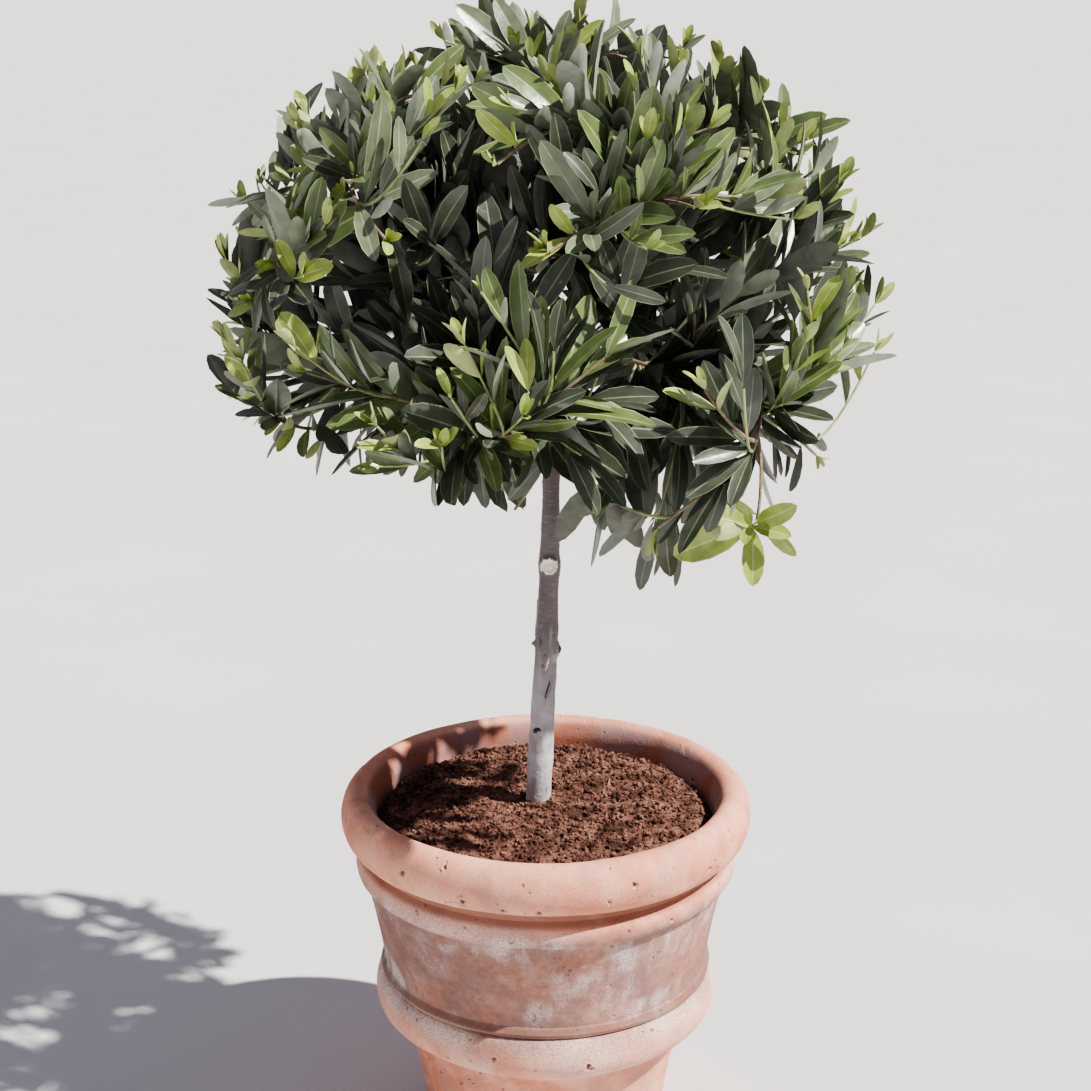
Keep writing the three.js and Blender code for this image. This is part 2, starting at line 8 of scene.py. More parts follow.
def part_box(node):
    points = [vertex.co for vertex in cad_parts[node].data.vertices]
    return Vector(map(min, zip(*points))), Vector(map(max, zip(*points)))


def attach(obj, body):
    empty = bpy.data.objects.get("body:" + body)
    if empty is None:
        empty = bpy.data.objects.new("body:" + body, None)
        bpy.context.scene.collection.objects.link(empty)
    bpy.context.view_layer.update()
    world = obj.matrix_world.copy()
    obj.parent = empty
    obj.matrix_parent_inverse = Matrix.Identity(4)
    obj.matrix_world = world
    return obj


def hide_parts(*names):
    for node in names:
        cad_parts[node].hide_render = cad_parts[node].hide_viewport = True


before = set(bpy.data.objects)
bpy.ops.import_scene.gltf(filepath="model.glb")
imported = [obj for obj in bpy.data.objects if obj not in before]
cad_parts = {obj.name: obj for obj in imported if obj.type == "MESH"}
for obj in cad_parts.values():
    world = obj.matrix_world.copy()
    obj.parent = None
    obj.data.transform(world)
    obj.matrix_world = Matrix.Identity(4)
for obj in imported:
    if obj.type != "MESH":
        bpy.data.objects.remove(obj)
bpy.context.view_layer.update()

# The pot
# A thrown terracotta pot with a slim foot, a heavy rib under a ledge, a bead and a rolled rim.
# Red clay, fired once and left bare, so the weather has pitted it and drawn lime out of it.
POT_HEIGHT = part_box("pot")[1].z
FOOT_RADIUS = 0.0722
FOOT_EDGE = 0.0022
SHIN_RADIUS, SHIN_LEVEL = 0.0795, 0.0485
WAIST_RADIUS, WAIST_LEVEL = 0.086, 0.08
RIB_RADIUS, RIB_LEVEL, RIB_HALF_HEIGHT = 0.1059, 0.0984, 0.0144
RIB_UNDERCUT, RIB_SHOULDER = 0.0135, 0.0055
LEDGE_RADIUS, LEDGE_HEIGHT = 0.1022, 0.0032
# Its worn steps: how far out of its radius, and how high in shares of its height
LEDGE_STEPS = [(0, 0.4), (0.0004, 1), (-0.0006, 1.5)]
BODY_FOOT = (0.1001, 0.1198)
BODY_MIDDLE = (0.1034, 0.149)
BODY_TOP_RADIUS = 0.1114
BEAD_DEPTH, BEAD_LEVEL, BEAD_HALF_HEIGHT = 0.0049, 0.184, 0.0072
NECK_LEVEL = 0.1932
RIM_RADIUS = 0.125
RIM_ROLL_HALF_WIDTH, RIM_ROLL_HALF_HEIGHT, RIM_FILLET = 0.01075, 0.0155, 0.0024
WALL, POT_FLOOR, FLOOR_RADIUS = 0.0125, 0.014, 0.0617
THROAT_RADIUS, THROAT_LEVEL = 0.1005, 0.195
DRAIN_HOLES, DRAIN_HOLE_RADIUS, DRAIN_CIRCLE_RADIUS = 3, 0.006, 0.034
POT_SIDES = 288
SKIN_SPACING = 0.0024
HIDDEN_SPACING = 0.012
# The waves of the hand-turned wall: height, features per metre and shift of the noise
WALL_WAVES = [(0.0007, 16, 0.0), (0.00022, 75, 3.0)]
# They begin at this level and are at their full height this much further up
WAVES_FROM, WAVES_OVER = 0.004, 0.02
NICKS, NICK_RADIUS, NICK_DEPTH, NICK_STRETCH = 110, (0.0014, 0.003), (0.0003, 0.0016), (0.5, 1.6)
# Nicks are on the outside, above this level and outside this radius
NICKS_ABOVE, NICKS_OUTSIDE = 0.02, 0.078
# Chips in the rim, the bead and the rib: azimuth in radians, level, half width and depth
RIM_CHIPS = [
    (-1.96, 0.2065, 0.0025, 0.0016), (-2.28, 0.2150, 0.0018, 0.0012), (-1.77, 0.2035, 0.0016, 0.0012),
    (-1.60, 0.2030, 0.0021, 0.0015), (-1.16, 0.2170, 0.0019, 0.0012), (-2.05, 0.2250, 0.0012, 0.0008),
    (-1.28, 0.2090, 0.0013, 0.0010), (-0.72, 0.2110, 0.0018, 0.0012), (-2.62, 0.2060, 0.0022, 0.0013),
    (-1.33, 0.0960, 0.0022, 0.0014), (-1.86, 0.1000, 0.0016, 0.0011), (-0.9, 0.1840, 0.0013, 0.0009),
    (0.45, 0.2120, 0.0016, 0.0010), (1.9, 0.2060, 0.0018, 0.0012), (2.7, 0.0990, 0.0015, 0.0010),
]
CHIP_PATCH, CHIP_CUTS, CHIP_RAGGED, CHIP_GRAIN = 0.0075, 5, 0.8, 420
# How far out the bottom, the broken edge and the last of a chip reach, in its half widths
CHIP_BOTTOM, CHIP_EDGE, CHIP_REACH = 0.6, 1.15, 3
# The low lip round a chip: its height in the chip's depths, its place and its half width
CHIP_LIP, CHIP_LIP_AT, CHIP_LIP_WIDE = 0.2, 1.25, 0.25

RIB_TOP_LEVEL = RIB_LEVEL + RIB_HALF_HEIGHT
RIM_MIDDLE = (RIM_RADIUS - RIM_ROLL_HALF_WIDTH, POT_HEIGHT - RIM_ROLL_HALF_HEIGHT)


def arc(middle, across, up, first, last, steps):
    """Points of an outline along an arc of an ellipse, from the first angle to the last."""
    angles = [math.radians(first + (last - first) * step / steps) for step in range(steps + 1)]
    return [(middle[0] + across * math.cos(a), middle[1] + up * math.sin(a)) for a in angles]


def curved(start, bend, end, steps):
    """Points of an outline along a curve that leaves start towards bend and ends at end."""
    shares = [step / steps for step in range(steps + 1)]
    corners = [Vector(start), Vector(bend), Vector(end)]
    return [
        tuple((1 - s) ** 2 * corners[0] + 2 * s * (1 - s) * corners[1] + s * s * corners[2])
        for s in shares
    ]


def filled_in(outline, spacing):
    """The outline with points added, so that none is further than the spacing from the next."""
    points = [outline[0]]
    for start, end in zip(outline, outline[1:]):
        steps = max(1, math.ceil(math.dist(start, end) / spacing))
        points += [tuple(Vector(start).lerp(Vector(end), step / steps)) for step in range(1, steps + 1)]
    return points


def turned(outline, sides):
    """A closed body spun round the upright axis from an outline that starts and ends on the axis."""
    bpy.ops.object.select_all(action="DESELECT")
    bpy.ops.mesh.primitive_plane_add(size=0.01, location=(0, 0, outline[0][1]))
    piece = bpy.context.object
    bpy.ops.object.mode_set(mode="EDIT")
    bpy.ops.mesh.select_mode(type="VERT")
    bpy.ops.mesh.select_all(action="SELECT")
    bpy.ops.mesh.merge(type="CENTER")
    for start, end in zip(outline, outline[1:]):
        step = (end[0] - start[0], 0, end[1] - start[1])
        bpy.ops.mesh.extrude_vertices_move(TRANSFORM_OT_translate={"value": step})
    bpy.ops.mesh.select_all(action="SELECT")
    bpy.ops.mesh.spin(steps=sides, angle=2 * math.pi, center=(0, 0, 0), axis=(0, 0, 1))
    bpy.ops.mesh.select_all(action="SELECT")
    bpy.ops.mesh.remove_doubles(threshold=0.00002)
    bpy.ops.mesh.normals_make_consistent(inside=False)
    bpy.ops.object.mode_set(mode="OBJECT")
    bpy.ops.object.transform_apply(location=True, rotation=True, scale=True)
    return piece


def places_of(piece):
    """The places and outward directions of a mesh's vertices, as arrays."""
    count = len(piece.data.vertices)
    places = np.empty(3 * count)
    outward = np.empty(3 * count)
    piece.data.vertices.foreach_get("co", places)
    piece.data.vertices.foreach_get("normal", outward)
    return places.reshape(count, 3), outward.reshape(count, 3)


def set_places(piece, places):
    piece.data.vertices.foreach_set("co", places.ravel())
    piece.data.update()


def noise_at(places, scale, shift=0.0):
    """Smooth noise from about -1 to 1 at each place, with features about 1 / scale across."""
    offset = Vector((shift, 2 * shift, -shift))
    return np.array([noise.noise(Vector(place) * scale + offset) for place in places])


def relief(places, layers):
    """Layers of noise added up, each with its height, its features per metre and its shift."""
    return sum(height * noise_at(places, scale, shift) for height, scale, shift in layers)


def subdivided(piece, faces, chosen, cuts):
    """Cuts the chosen faces of a piece, or else its chosen edges, into equal parts."""
    mesh = piece.data
    bpy.context.tool_settings.mesh_select_mode = (False, not faces, faces)
    for part in (mesh.vertices, mesh.edges, mesh.polygons):
        part.foreach_set("select", np.zeros(len(part), bool))
    (mesh.polygons if faces else mesh.edges).foreach_set("select", chosen)
    bpy.ops.object.mode_set(mode="EDIT")
    bpy.ops.mesh.subdivide(number_cuts=cuts)
    bpy.ops.object.mode_set(mode="OBJECT")


def handed_over(piece, name, nodes):
    """A finished piece: named, smooth but for its sharp edges, and standing for its CAD nodes."""
    bpy.ops.object.select_all(action="DESELECT")
    piece.select_set(True)
    bpy.context.view_layer.objects.active = piece
    bpy.ops.object.shade_smooth_by_angle(angle=math.radians(40))
    piece.name = name
    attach(piece, "root")
    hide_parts(*nodes)


class Finish:
    """A material made of nodes. Each method adds one and returns what comes out of it."""

    def __init__(self, name, roughness, specular=0.5):
        self.material = bpy.data.materials.new(name)
        self.material.use_nodes = True
        self.tree = self.material.node_tree
        self.shader = self.tree.nodes["Principled BSDF"]
        self.shader.inputs["Roughness"].default_value = roughness
        self.shader.inputs["Specular IOR Level"].default_value = specular
        self.place = self.tree.nodes.new("ShaderNodeTexCoord").outputs["Object"]

    def add(self, kind, **inputs):
        node = self.tree.nodes.new(kind)
        for name, value in inputs.items():
            self.feed(node.inputs[name.replace("_", " ")], value)
        return node

    def feed(self, socket, value):
        if isinstance(value, bpy.types.NodeSocket):
            self.tree.links.new(value, socket)
        elif isinstance(value, tuple) and len(value) == 3 and socket.type == "RGBA":
            socket.default_value = (*value, 1)
        else:
            socket.default_value = value

    def stretched(self, scale):
        return self.add("ShaderNodeMapping", Vector=self.place, Scale=scale).outputs["Vector"]

    def noise(self, scale, detail=3.0, place=None):
        node = self.add("ShaderNodeTexNoise", Vector=place or self.place, Scale=scale, Detail=detail)
        return node.outputs["Fac"]

    def cells(self, scale, place=None):
        return self.add("ShaderNodeTexVoronoi", Vector=place or self.place, Scale=scale)

    def level(self):
        return self.add("ShaderNodeSeparateXYZ", Vector=self.place).outputs["Z"]

    def outwards(self):
        """The distance from the upright axis."""
        node = self.tree.nodes.new("ShaderNodeVectorMath")
        node.operation = "LENGTH"
        self.feed(node.inputs[0], self.stretched((1, 1, 0)))
        return node.outputs["Value"]

    def share(self, value, low, high, least=0.0, most=1.0):
        """A value turned into a smooth share: least at low, most at high."""
        node = self.tree.nodes.new("ShaderNodeMapRange")
        node.interpolation_type = "SMOOTHSTEP"
        for name, number in zip(("Value", "From Min", "From Max", "To Min", "To Max"),
                                (value, low, high, least, most)):
            self.feed(node.inputs[name], number)
        return node.outputs["Result"]

    def patches(self, scale, detail, low, high, least=0.0, most=1.0, stretch=None):
        """Soft-edged patches of noise: least where it is under low, most where it is over high."""
        place = self.stretched(stretch) if stretch else self.place
        return self.share(self.noise(scale, detail, place), low, high, least, most)

    def band(self, low, high, soft):
        """A share that is one between two levels of the piece and fades out above and below."""
        above = self.share(self.level(), low - soft, low)
        return self.times(above, self.share(self.level(), high, high + soft, 1.0, 0.0))

    def times(self, first, second, operation="MULTIPLY"):
        node = self.tree.nodes.new("ShaderNodeMath")
        node.operation = operation
        node.use_clamp = True
        self.feed(node.inputs[0], first)
        self.feed(node.inputs[1], second)
        return node.outputs[0]

    def mixed(self, share, first, second):
        node = self.tree.nodes.new("ShaderNodeMix")
        node.data_type = "RGBA"
        for index, value in ((0, share), (6, first), (7, second)):
            self.feed(node.inputs[index], value)
        return node.outputs[2]

    def colour(self, value):
        self.feed(self.shader.inputs["Base Color"], value)

    def bumps(self, *heights):
        """Relief from (height, strength, distance) in turn, the last on top."""
        normal = None
        for height, strength, distance in heights:
            node = self.add("ShaderNodeBump", Height=height, Strength=strength, Distance=distance)
            if normal:
                self.feed(node.inputs["Normal"], normal)
            normal = node.outputs["Normal"]
        self.feed(self.shader.inputs["Normal"], normal)


def pot_outline():
    bead_foot = (BODY_TOP_RADIUS, BEAD_LEVEL - BEAD_HALF_HEIGHT)
    under = [(0, 0), (FOOT_RADIUS - 4 * FOOT_EDGE, 0)]
    outside = [
        *arc((FOOT_RADIUS - FOOT_EDGE, FOOT_EDGE), FOOT_EDGE, FOOT_EDGE, -90, 0, 3),
        (SHIN_RADIUS, SHIN_LEVEL),
        (WAIST_RADIUS, WAIST_LEVEL - 0.003),
        *arc((RIB_RADIUS - RIB_UNDERCUT, RIB_LEVEL), RIB_UNDERCUT, RIB_HALF_HEIGHT, -80, 0, 10),
        *arc((RIB_RADIUS - RIB_SHOULDER, RIB_LEVEL), RIB_SHOULDER, RIB_HALF_HEIGHT, 12, 90, 8),
        *((LEDGE_RADIUS + out, RIB_TOP_LEVEL + up * LEDGE_HEIGHT) for out, up in LEDGE_STEPS),
        *curved(BODY_FOOT, BODY_MIDDLE, bead_foot, 12),
        *arc((BODY_TOP_RADIUS, BEAD_LEVEL), BEAD_DEPTH, BEAD_HALF_HEIGHT, -66, 66, 9),
        (BODY_TOP_RADIUS, NECK_LEVEL),
        (RIM_MIDDLE[0] - RIM_FILLET, RIM_MIDDLE[1] - RIM_ROLL_HALF_HEIGHT - RIM_FILLET),
        *arc(RIM_MIDDLE, RIM_ROLL_HALF_WIDTH, RIM_ROLL_HALF_HEIGHT, -76, 180, 34),
        (THROAT_RADIUS, THROAT_LEVEL),
    ]
    inside = [
        (THROAT_RADIUS, THROAT_LEVEL),
        (RIB_RADIUS - RIB_SHOULDER - WALL, RIB_TOP_LEVEL),
        (WAIST_RADIUS - WALL, WAIST_LEVEL),
        (FLOOR_RADIUS, POT_FLOOR),
        (0, POT_FLOOR),
    ]
    skin = filled_in(outside, SKIN_SPACING)
    return filled_in(under, HIDDEN_SPACING) + skin + filled_in(inside, HIDDEN_SPACING)[1:]


def drill_drains(pot):
    for i in range(DRAIN_HOLES):
        turn = 2 * math.pi * i / DRAIN_HOLES
        place = (-DRAIN_CIRCLE_RADIUS * math.sin(turn), DRAIN_CIRCLE_RADIUS * math.cos(turn), 0)
        bpy.ops.object.select_all(action="DESELECT")
        bpy.ops.mesh.primitive_cylinder_add(
            vertices=32, radius=DRAIN_HOLE_RADIUS, depth=4 * POT_FLOOR, location=place
        )
        drill = bpy.context.object
        bpy.context.view_layer.objects.active = pot
        cut = pot.modifiers.new("drain", "BOOLEAN")
        cut.operation = "DIFFERENCE"
        cut.solver = "MANIFOLD"
        cut.object = drill
        bpy.ops.object.modifier_apply(modifier="drain")
        bpy.data.objects.remove(drill)


def chip_share(places, away, chip):
    """The distance from a chip in its half widths, ragged by noise."""
    return away * (1 + CHIP_RAGGED * noise_at(places, CHIP_GRAIN, 6.0)) / chip[2]


def from_chip(places, chip):
    """How far places on the outside of the pot are from the middle of a chip."""
    radius = np.hypot(places[:, 0], places[:, 1])
    turn = np.arctan2(places[:, 1], places[:, 0]) - chip[0]
    away = np.hypot(places[:, 2] - chip[1], radius * turn)
    return np.where(radius > THROAT_RADIUS, away, np.inf)


def chip_rim(pot):
    """Small chips with ragged edges, each cut into a patch of the wall that is first made finer."""
    middles = np.array([face.center for face in pot.data.polygons])
    near = np.min([from_chip(middles, chip) for chip in RIM_CHIPS], axis=0) < CHIP_PATCH
    subdivided(pot, True, near, CHIP_CUTS)
    places, outward = places_of(pot)
    for chip in RIM_CHIPS:
        wide, deep = chip[2:]
        away = from_chip(places, chip)
        close = np.flatnonzero(away < CHIP_REACH * wide)
        share = chip_share(places[close], away[close], chip)
        lip = CHIP_LIP * deep * np.exp(-(((share - CHIP_LIP_AT) / CHIP_LIP_WIDE) ** 2))
        dent = deep * np.exp(-(share ** 4)) - lip
        places[close] -= outward[close] * dent[:, None]
    set_places(pot, places)


def show_chips(pot):
    """The bottoms of the chips, painted dark as shade in the dent, are the second slot, and their broken
    edges the third.
    """
    middles = np.array([face.center for face in pot.data.polygons])
    inside = np.zeros(len(middles), int)
    for chip in RIM_CHIPS:
        away = from_chip(middles, chip)
        close = np.flatnonzero(away < CHIP_REACH * chip[2])
        share = chip_share(middles[close], away[close], chip)
        inside[close[share < CHIP_EDGE]] = 2
        inside[close[share < CHIP_BOTTOM]] = 1
    pot.data.polygons.foreach_set("material_index", inside)


def weather_pot(pot):
    """The slow waves of a hand-turned wall, and nicks where the clay has chipped."""
    places, outward = places_of(pot)
    above_foot = np.clip((places[:, 2] - WAVES_FROM) / WAVES_OVER, 0, 1)
    places += outward * (above_foot * relief(places, WALL_WAVES))[:, None]
    chance = np.random.default_rng(41)
    outside = np.hypot(places[:, 0], places[:, 1]) > NICKS_OUTSIDE
    skin = np.flatnonzero((places[:, 2] > NICKS_ABOVE) & outside)
    for index in chance.choice(skin, NICKS):
        wide = chance.uniform(*NICK_RADIUS)
        longer = chance.uniform(*NICK_STRETCH, 3)
        near = np.exp(-((np.linalg.norm((places - places[index]) * longer, axis=1) / wide) ** 2))
        places -= outward * (chance.uniform(*NICK_DEPTH) * near)[:, None]
    set_places(pot, places)


def terracotta():
    clay = Finish("weathered_terracotta", 0.88, 0.3)
    tone = clay.mixed(clay.patches(9, 5, 0.36, 0.62), (0.58, 0.22, 0.14), (0.8, 0.375, 0.265))
    mottled = clay.patches(55, 8, 0.42, 0.66, 0.0, 0.5)
    tone = clay.mixed(mottled, tone, (0.86, 0.48, 0.37))
    orange = clay.patches(24, 5, 0.56, 0.74, 0.0, 0.55)
    tone = clay.mixed(orange, tone, (0.53, 0.185, 0.09))
    body = clay.band(0.112, 0.178, 0.012)
    mauve = clay.patches(17, 7, 0.34, 0.54, 0.45, 0.95)
    tone = clay.mixed(clay.times(mauve, body), tone, (0.25, 0.15, 0.135))
    speckled = clay.times(clay.patches(230, 12, 0.3, 0.74, 0.0, 0.6), body)
    tone = clay.mixed(speckled, tone, (0.2, 0.1, 0.082))
    smoky = clay.patches(30, 6, 0.5, 0.72, 0.0, 0.6)
    tone = clay.mixed(smoky, tone, (0.42, 0.23, 0.18))
    powder = clay.patches(1100, 3, 0.36, 0.62, 0.25, 1.0)
    lime = clay.patches(15, 15, 0.44, 0.66, stretch=(1, 1, 2.2))
    streaked = clay.patches(95, 8, 0.4, 0.62, 0.15, 1.0, (1, 1, 0.4))
    lime = clay.times(clay.times(clay.times(lime, powder), streaked), body)
    tone = clay.mixed(clay.times(lime, 0.85), tone, (0.74, 0.66, 0.64))
    rib = clay.times(clay.band(0.086, 0.11, 0.006), clay.patches(26, 7, 0.34, 0.6, 0.2, 0.75))
    tone = clay.mixed(clay.times(rib, powder), tone, (0.76, 0.56, 0.5))
    edges = clay.times(clay.band(0.106, 0.1135, 0.006), clay.band(0.181, 0.188, 0.005), "ADD")
    worn = clay.times(clay.patches(20, 9, 0.4, 0.66), clay.times(edges, powder))
    tone = clay.mixed(clay.times(worn, 0.8), tone, (0.84, 0.66, 0.58))
    dusting = clay.times(clay.patches(36, 9, 0.56, 0.76), powder)
    tone = clay.mixed(clay.times(dusting, 0.45), tone, (0.7, 0.5, 0.43))
    # Inside the rim the clay is darker, orange and mauve in patches.
    inner = clay.share(clay.outwards(), 0.1065, 0.1105, 1.0, 0.0)
    inner_wall_tone = clay.mixed(clay.patches(28, 6, 0.4, 0.6), (0.38, 0.14, 0.085), (0.37, 0.23, 0.215))
    tone = clay.mixed(clay.times(inner, clay.band(0.19, 0.2265, 0.005)), tone, inner_wall_tone)
    # Painted shade: a dark brown line in the crease under the rim and in the one above the ledge.
    painted_crease_shade = clay.times(
        clay.band(0.1915, 0.1975, 0.003), clay.band(0.1148, 0.1178, 0.0022), "ADD"
    )
    tone = clay.mixed(clay.times(painted_crease_shade, 0.6), tone, (0.17, 0.078, 0.052))
    pits = clay.cells(170).outputs["Distance"]
    some = clay.patches(70, 2, 0.56, 0.68)
    pitted = clay.times(clay.share(pits, 0.07, 0.2, 1.0, 0.0), some)
    frayed = clay.stretched((1.3, 1, 0.8))
    chips = clay.times(clay.cells(64, frayed).outputs["Distance"], clay.noise(260, 3), "ADD")
    chipped = clay.times(clay.share(chips, 0.47, 0.54, 1.0, 0.0), clay.patches(31, 2, 0.5, 0.56))
    hollows = clay.times(pitted, chipped, "MAXIMUM")
    # The pits and chips are darkened here as painted shade in their hollows; the bump below sinks them.
    tone = clay.mixed(clay.times(hollows, 0.45), tone, (0.16, 0.08, 0.06))
    grain = clay.noise(800, 5)
    tone = clay.mixed(clay.share(grain, 0.4, 0.75, 0.0, 0.3), tone, (0.34, 0.15, 0.1))
    clay.colour(tone)
    clay.bumps(
        (clay.noise(60, 6), 0.4, 0.0016),
        (grain, 0.5, 0.0005),
        (clay.times(1.0, hollows, "SUBTRACT"), 0.9, 0.0014),
    )
    return clay.material


pot = turned(pot_outline(), POT_SIDES)
drill_drains(pot)
weather_pot(pot)
chip_rim(pot)
pot.data.materials.clear()
pot.data.materials.append(terracotta())
# The chip bottoms are painted dark as shade in the dent; the broken edges keep a clay tone.
for name, dark, light in (
    ("chip_bottom_shade", (0.11, 0.05, 0.04), (0.28, 0.14, 0.11)),
    ("chip_edge", (0.48, 0.25, 0.18), (0.74, 0.48, 0.38)),
):
    broken = Finish(name, 0.95, 0.2)
    broken.colour(broken.mixed(broken.noise(700, 3), dark, light))
    broken.bumps((broken.noise(900, 3), 0.7, 0.0006))
    pot.data.materials.append(broken.material)
show_chips(pot)
handed_over(pot, "terracotta_pot", ["pot"])

# The potting soil
# Reddish brown peat and coir, crumbly and freshly filled, heaped a little round the stem.
# Its body fills the pot to just under the lip, and loose crumbs and fibres lie on top.
CLEAR = 0.0003
SOIL_LEVEL = 0.2165
SOIL_TOP = [(0.1010, 0.2100), (0.096, 0.2154), (0.060, 0.2184), (0.017, 0.2165), (0, 0.2165)]
SOIL_SIDES, SOIL_SPACING, HIDDEN_SOIL_SPACING = 220, 0.0017, 0.02
# Its clumps: height, features per metre and shift of the noise
SOIL_CLUMPS = [(0.0022, 38, 0.0), (0.0017, 120, 5.0), (0.0011, 330, 9.0)]
# It has sunk at the right-hand wall, from this radius over this width, and most this far right
SUNK_FROM, SUNK_OVER, SUNK_DEPTH, SUNK_RIGHT = 0.07, 0.03, 0.003, 0.1
CRUMBS, CRUMB_RADIUS, CRUMB_SIZE_POWER, CRUMB_STANDS = 9000, (0.0004, 0.0018), 3.2, 0.35
CRUMB_RAGGED, CRUMB_LUMPS, CRUMB_STRETCH = 0.35, 1.9, (0.7, 1.3)
DARK_CRUMB_SHARE, FIBRE_SHARE, FIBRE_STRETCH = 0.4, 0.05, (2.6, 0.42, 0.42)
STEM_PLACE = (-0.0046, 0.0)
# The heap round the stem, and how much of the clumps it covers
STEM_HEAP, STEM_HEAP_RADIUS, STEM_HEAP_COVERS = 0.0034, 0.015, 0.8
STEM_CRUMBS, STEM_CRUMB_RING = 260, (0.0072, 0.0118)


def soil_relief(places):
    """How far clumps and hollows lift the soil, and how far it has sunk at the right-hand wall."""
    lift = relief(places * (1, 1, 0), SOIL_CLUMPS)
    far = np.clip((np.hypot(places[:, 0], places[:, 1]) - SUNK_FROM) / SUNK_OVER, 0, 1)
    from_stem = np.hypot(places[:, 0] - STEM_PLACE[0], places[:, 1] - STEM_PLACE[1])
    heap = np.exp(-((from_stem / STEM_HEAP_RADIUS) ** 2))
    lift += heap * (STEM_HEAP - STEM_HEAP_COVERS * lift)
    return lift - SUNK_DEPTH * far * np.clip(places[:, 0] / SUNK_RIGHT, 0, 1) ** 2


def soil_height(places):
    levels = np.interp(
        np.hypot(places[:, 0], places[:, 1]),
        [radius for radius, level in reversed(SOIL_TOP)],
        [level for radius, level in reversed(SOIL_TOP)],
    )
    return levels + soil_relief(places)


def soil_body():
    walls = [
        (0, POT_FLOOR + CLEAR),
        (FLOOR_RADIUS - 2 * CLEAR, POT_FLOOR + CLEAR),
        (WAIST_RADIUS - WALL - 2 * CLEAR, WAIST_LEVEL),
        (RIB_RADIUS - RIB_SHOULDER - WALL - 2 * CLEAR, RIB_TOP_LEVEL),
        (THROAT_RADIUS - 5 * CLEAR, THROAT_LEVEL),
    ]
    outline = filled_in([walls[-1], *SOIL_TOP], SOIL_SPACING)
    soil = turned(filled_in(walls, HIDDEN_SOIL_SPACING)[:-1] + outline, SOIL_SIDES)
    places, outward = places_of(soil)
    top = (places[:, 2] > 0.2) & (np.hypot(places[:, 0], places[:, 1]) < SOIL_TOP[0][0] + 0.0001)
    places[top, 2] += soil_relief(places[top])
    set_places(soil, places)
    return soil


def joined_copies(name, template, corners, kinds):
    """Copies of a small mesh as one object: their corners, and a material slot for every face."""
    count, size = corners.shape[:2]
    faces = [list(face.vertices) for face in template.data.polygons]
    shifted = [[corner + copy * size for corner in face] for copy in range(count) for face in faces]
    mesh = bpy.data.meshes.new(name)
    mesh.from_pydata(corners.reshape(-1, 3).tolist(), [], shifted)
    mesh.polygons.foreach_set("material_index", kinds)
    piece = bpy.data.objects.new(name, mesh)
    bpy.context.scene.collection.objects.link(piece)
    return piece


def random_turns(chance, count):
    """Even random rotations from random quaternions."""
    q = chance.normal(size=(count, 4))
    w, x, y, z = (q / np.linalg.norm(q, axis=1)[:, None]).T
    rows = [
        [1 - 2 * (y * y + z * z), 2 * (x * y - z * w), 2 * (x * z + y * w)],
        [2 * (x * y + z * w), 1 - 2 * (x * x + z * z), 2 * (y * z - x * w)],
        [2 * (x * z - y * w), 2 * (y * z + x * w), 1 - 2 * (x * x + y * y)],
    ]
    return np.array(rows).transpose(2, 0, 1)


def soil_crumbs():
    bpy.ops.object.select_all(action="DESELECT")
    bpy.ops.mesh.primitive_ico_sphere_add(subdivisions=1, radius=1)
    crumb = bpy.context.object
    shape, _ = places_of(crumb)
    shape = shape * (1 + CRUMB_RAGGED * noise_at(shape, CRUMB_LUMPS))[:, None]
    set_places(crumb, shape)
    chance = np.random.default_rng(7)
    radius = (SOIL_TOP[0][0] - 0.001) * np.sqrt(chance.uniform(0.006, 1, CRUMBS))
    azimuth = chance.uniform(0, 2 * math.pi, CRUMBS)
    radius[:STEM_CRUMBS] = chance.uniform(*STEM_CRUMB_RING, STEM_CRUMBS)
    places = np.stack([radius * np.cos(azimuth), radius * np.sin(azimuth), np.zeros(CRUMBS)], 1)
    places[:STEM_CRUMBS, :2] += STEM_PLACE
    least, most = CRUMB_RADIUS
    size = least + (most - least) * chance.uniform(0, 1, CRUMBS) ** CRUMB_SIZE_POWER
    sizes = size[:, None] * chance.uniform(*CRUMB_STRETCH, (CRUMBS, 3))
    fibres = chance.uniform(0, 1, CRUMBS) < FIBRE_SHARE
    sizes[fibres] *= FIBRE_STRETCH
    places[:, 2] = soil_height(places) + CRUMB_STANDS * size
    turns = random_turns(chance, CRUMBS)
    corners = np.einsum("nij,nvj->nvi", turns, shape[None] * sizes[:, None, :]) + places[:, None, :]
    kinds = np.where(fibres, 2, (chance.uniform(0, 1, CRUMBS) < DARK_CRUMB_SHARE).astype(int))
    crumbs = joined_copies("soil_crumbs", crumb, corners, np.repeat(kinds, len(crumb.data.polygons)))
    bpy.data.objects.remove(crumb)
    return crumbs


def earth(name, dark, light):
    peat = Finish(name, 0.97, 0.15)
    clumps = peat.patches(90, 6, 0.36, 0.64)
    tone = peat.mixed(clumps, dark, light)
    tone = peat.mixed(peat.patches(620, 3, 0.5, 0.75, 0.0, 0.6), tone, (0.02, 0.009, 0.006))
    peat.colour(tone)
    peat.bumps((peat.noise(420, 6), 0.9, 0.0016), (peat.noise(1400, 3), 0.6, 0.0006))
    return peat.material


soil = soil_body()
soil.data.materials.append(earth("moist_peat", (0.075, 0.034, 0.025), (0.215, 0.105, 0.078)))
handed_over(soil, "soil", ["potting_soil"])
crumbs = soil_crumbs()
for name, dark, light in (
    ("peat_crumb", (0.105, 0.048, 0.035), (0.26, 0.13, 0.098)),
    ("dark_crumb", (0.042, 0.019, 0.015), (0.14, 0.066, 0.05)),
    ("coir_fibre", (0.19, 0.105, 0.07), (0.34, 0.22, 0.16)),
):
    crumbs.data.materials.append(earth(name, dark, light))
handed_over(crumbs, "soil_crumbs", [])
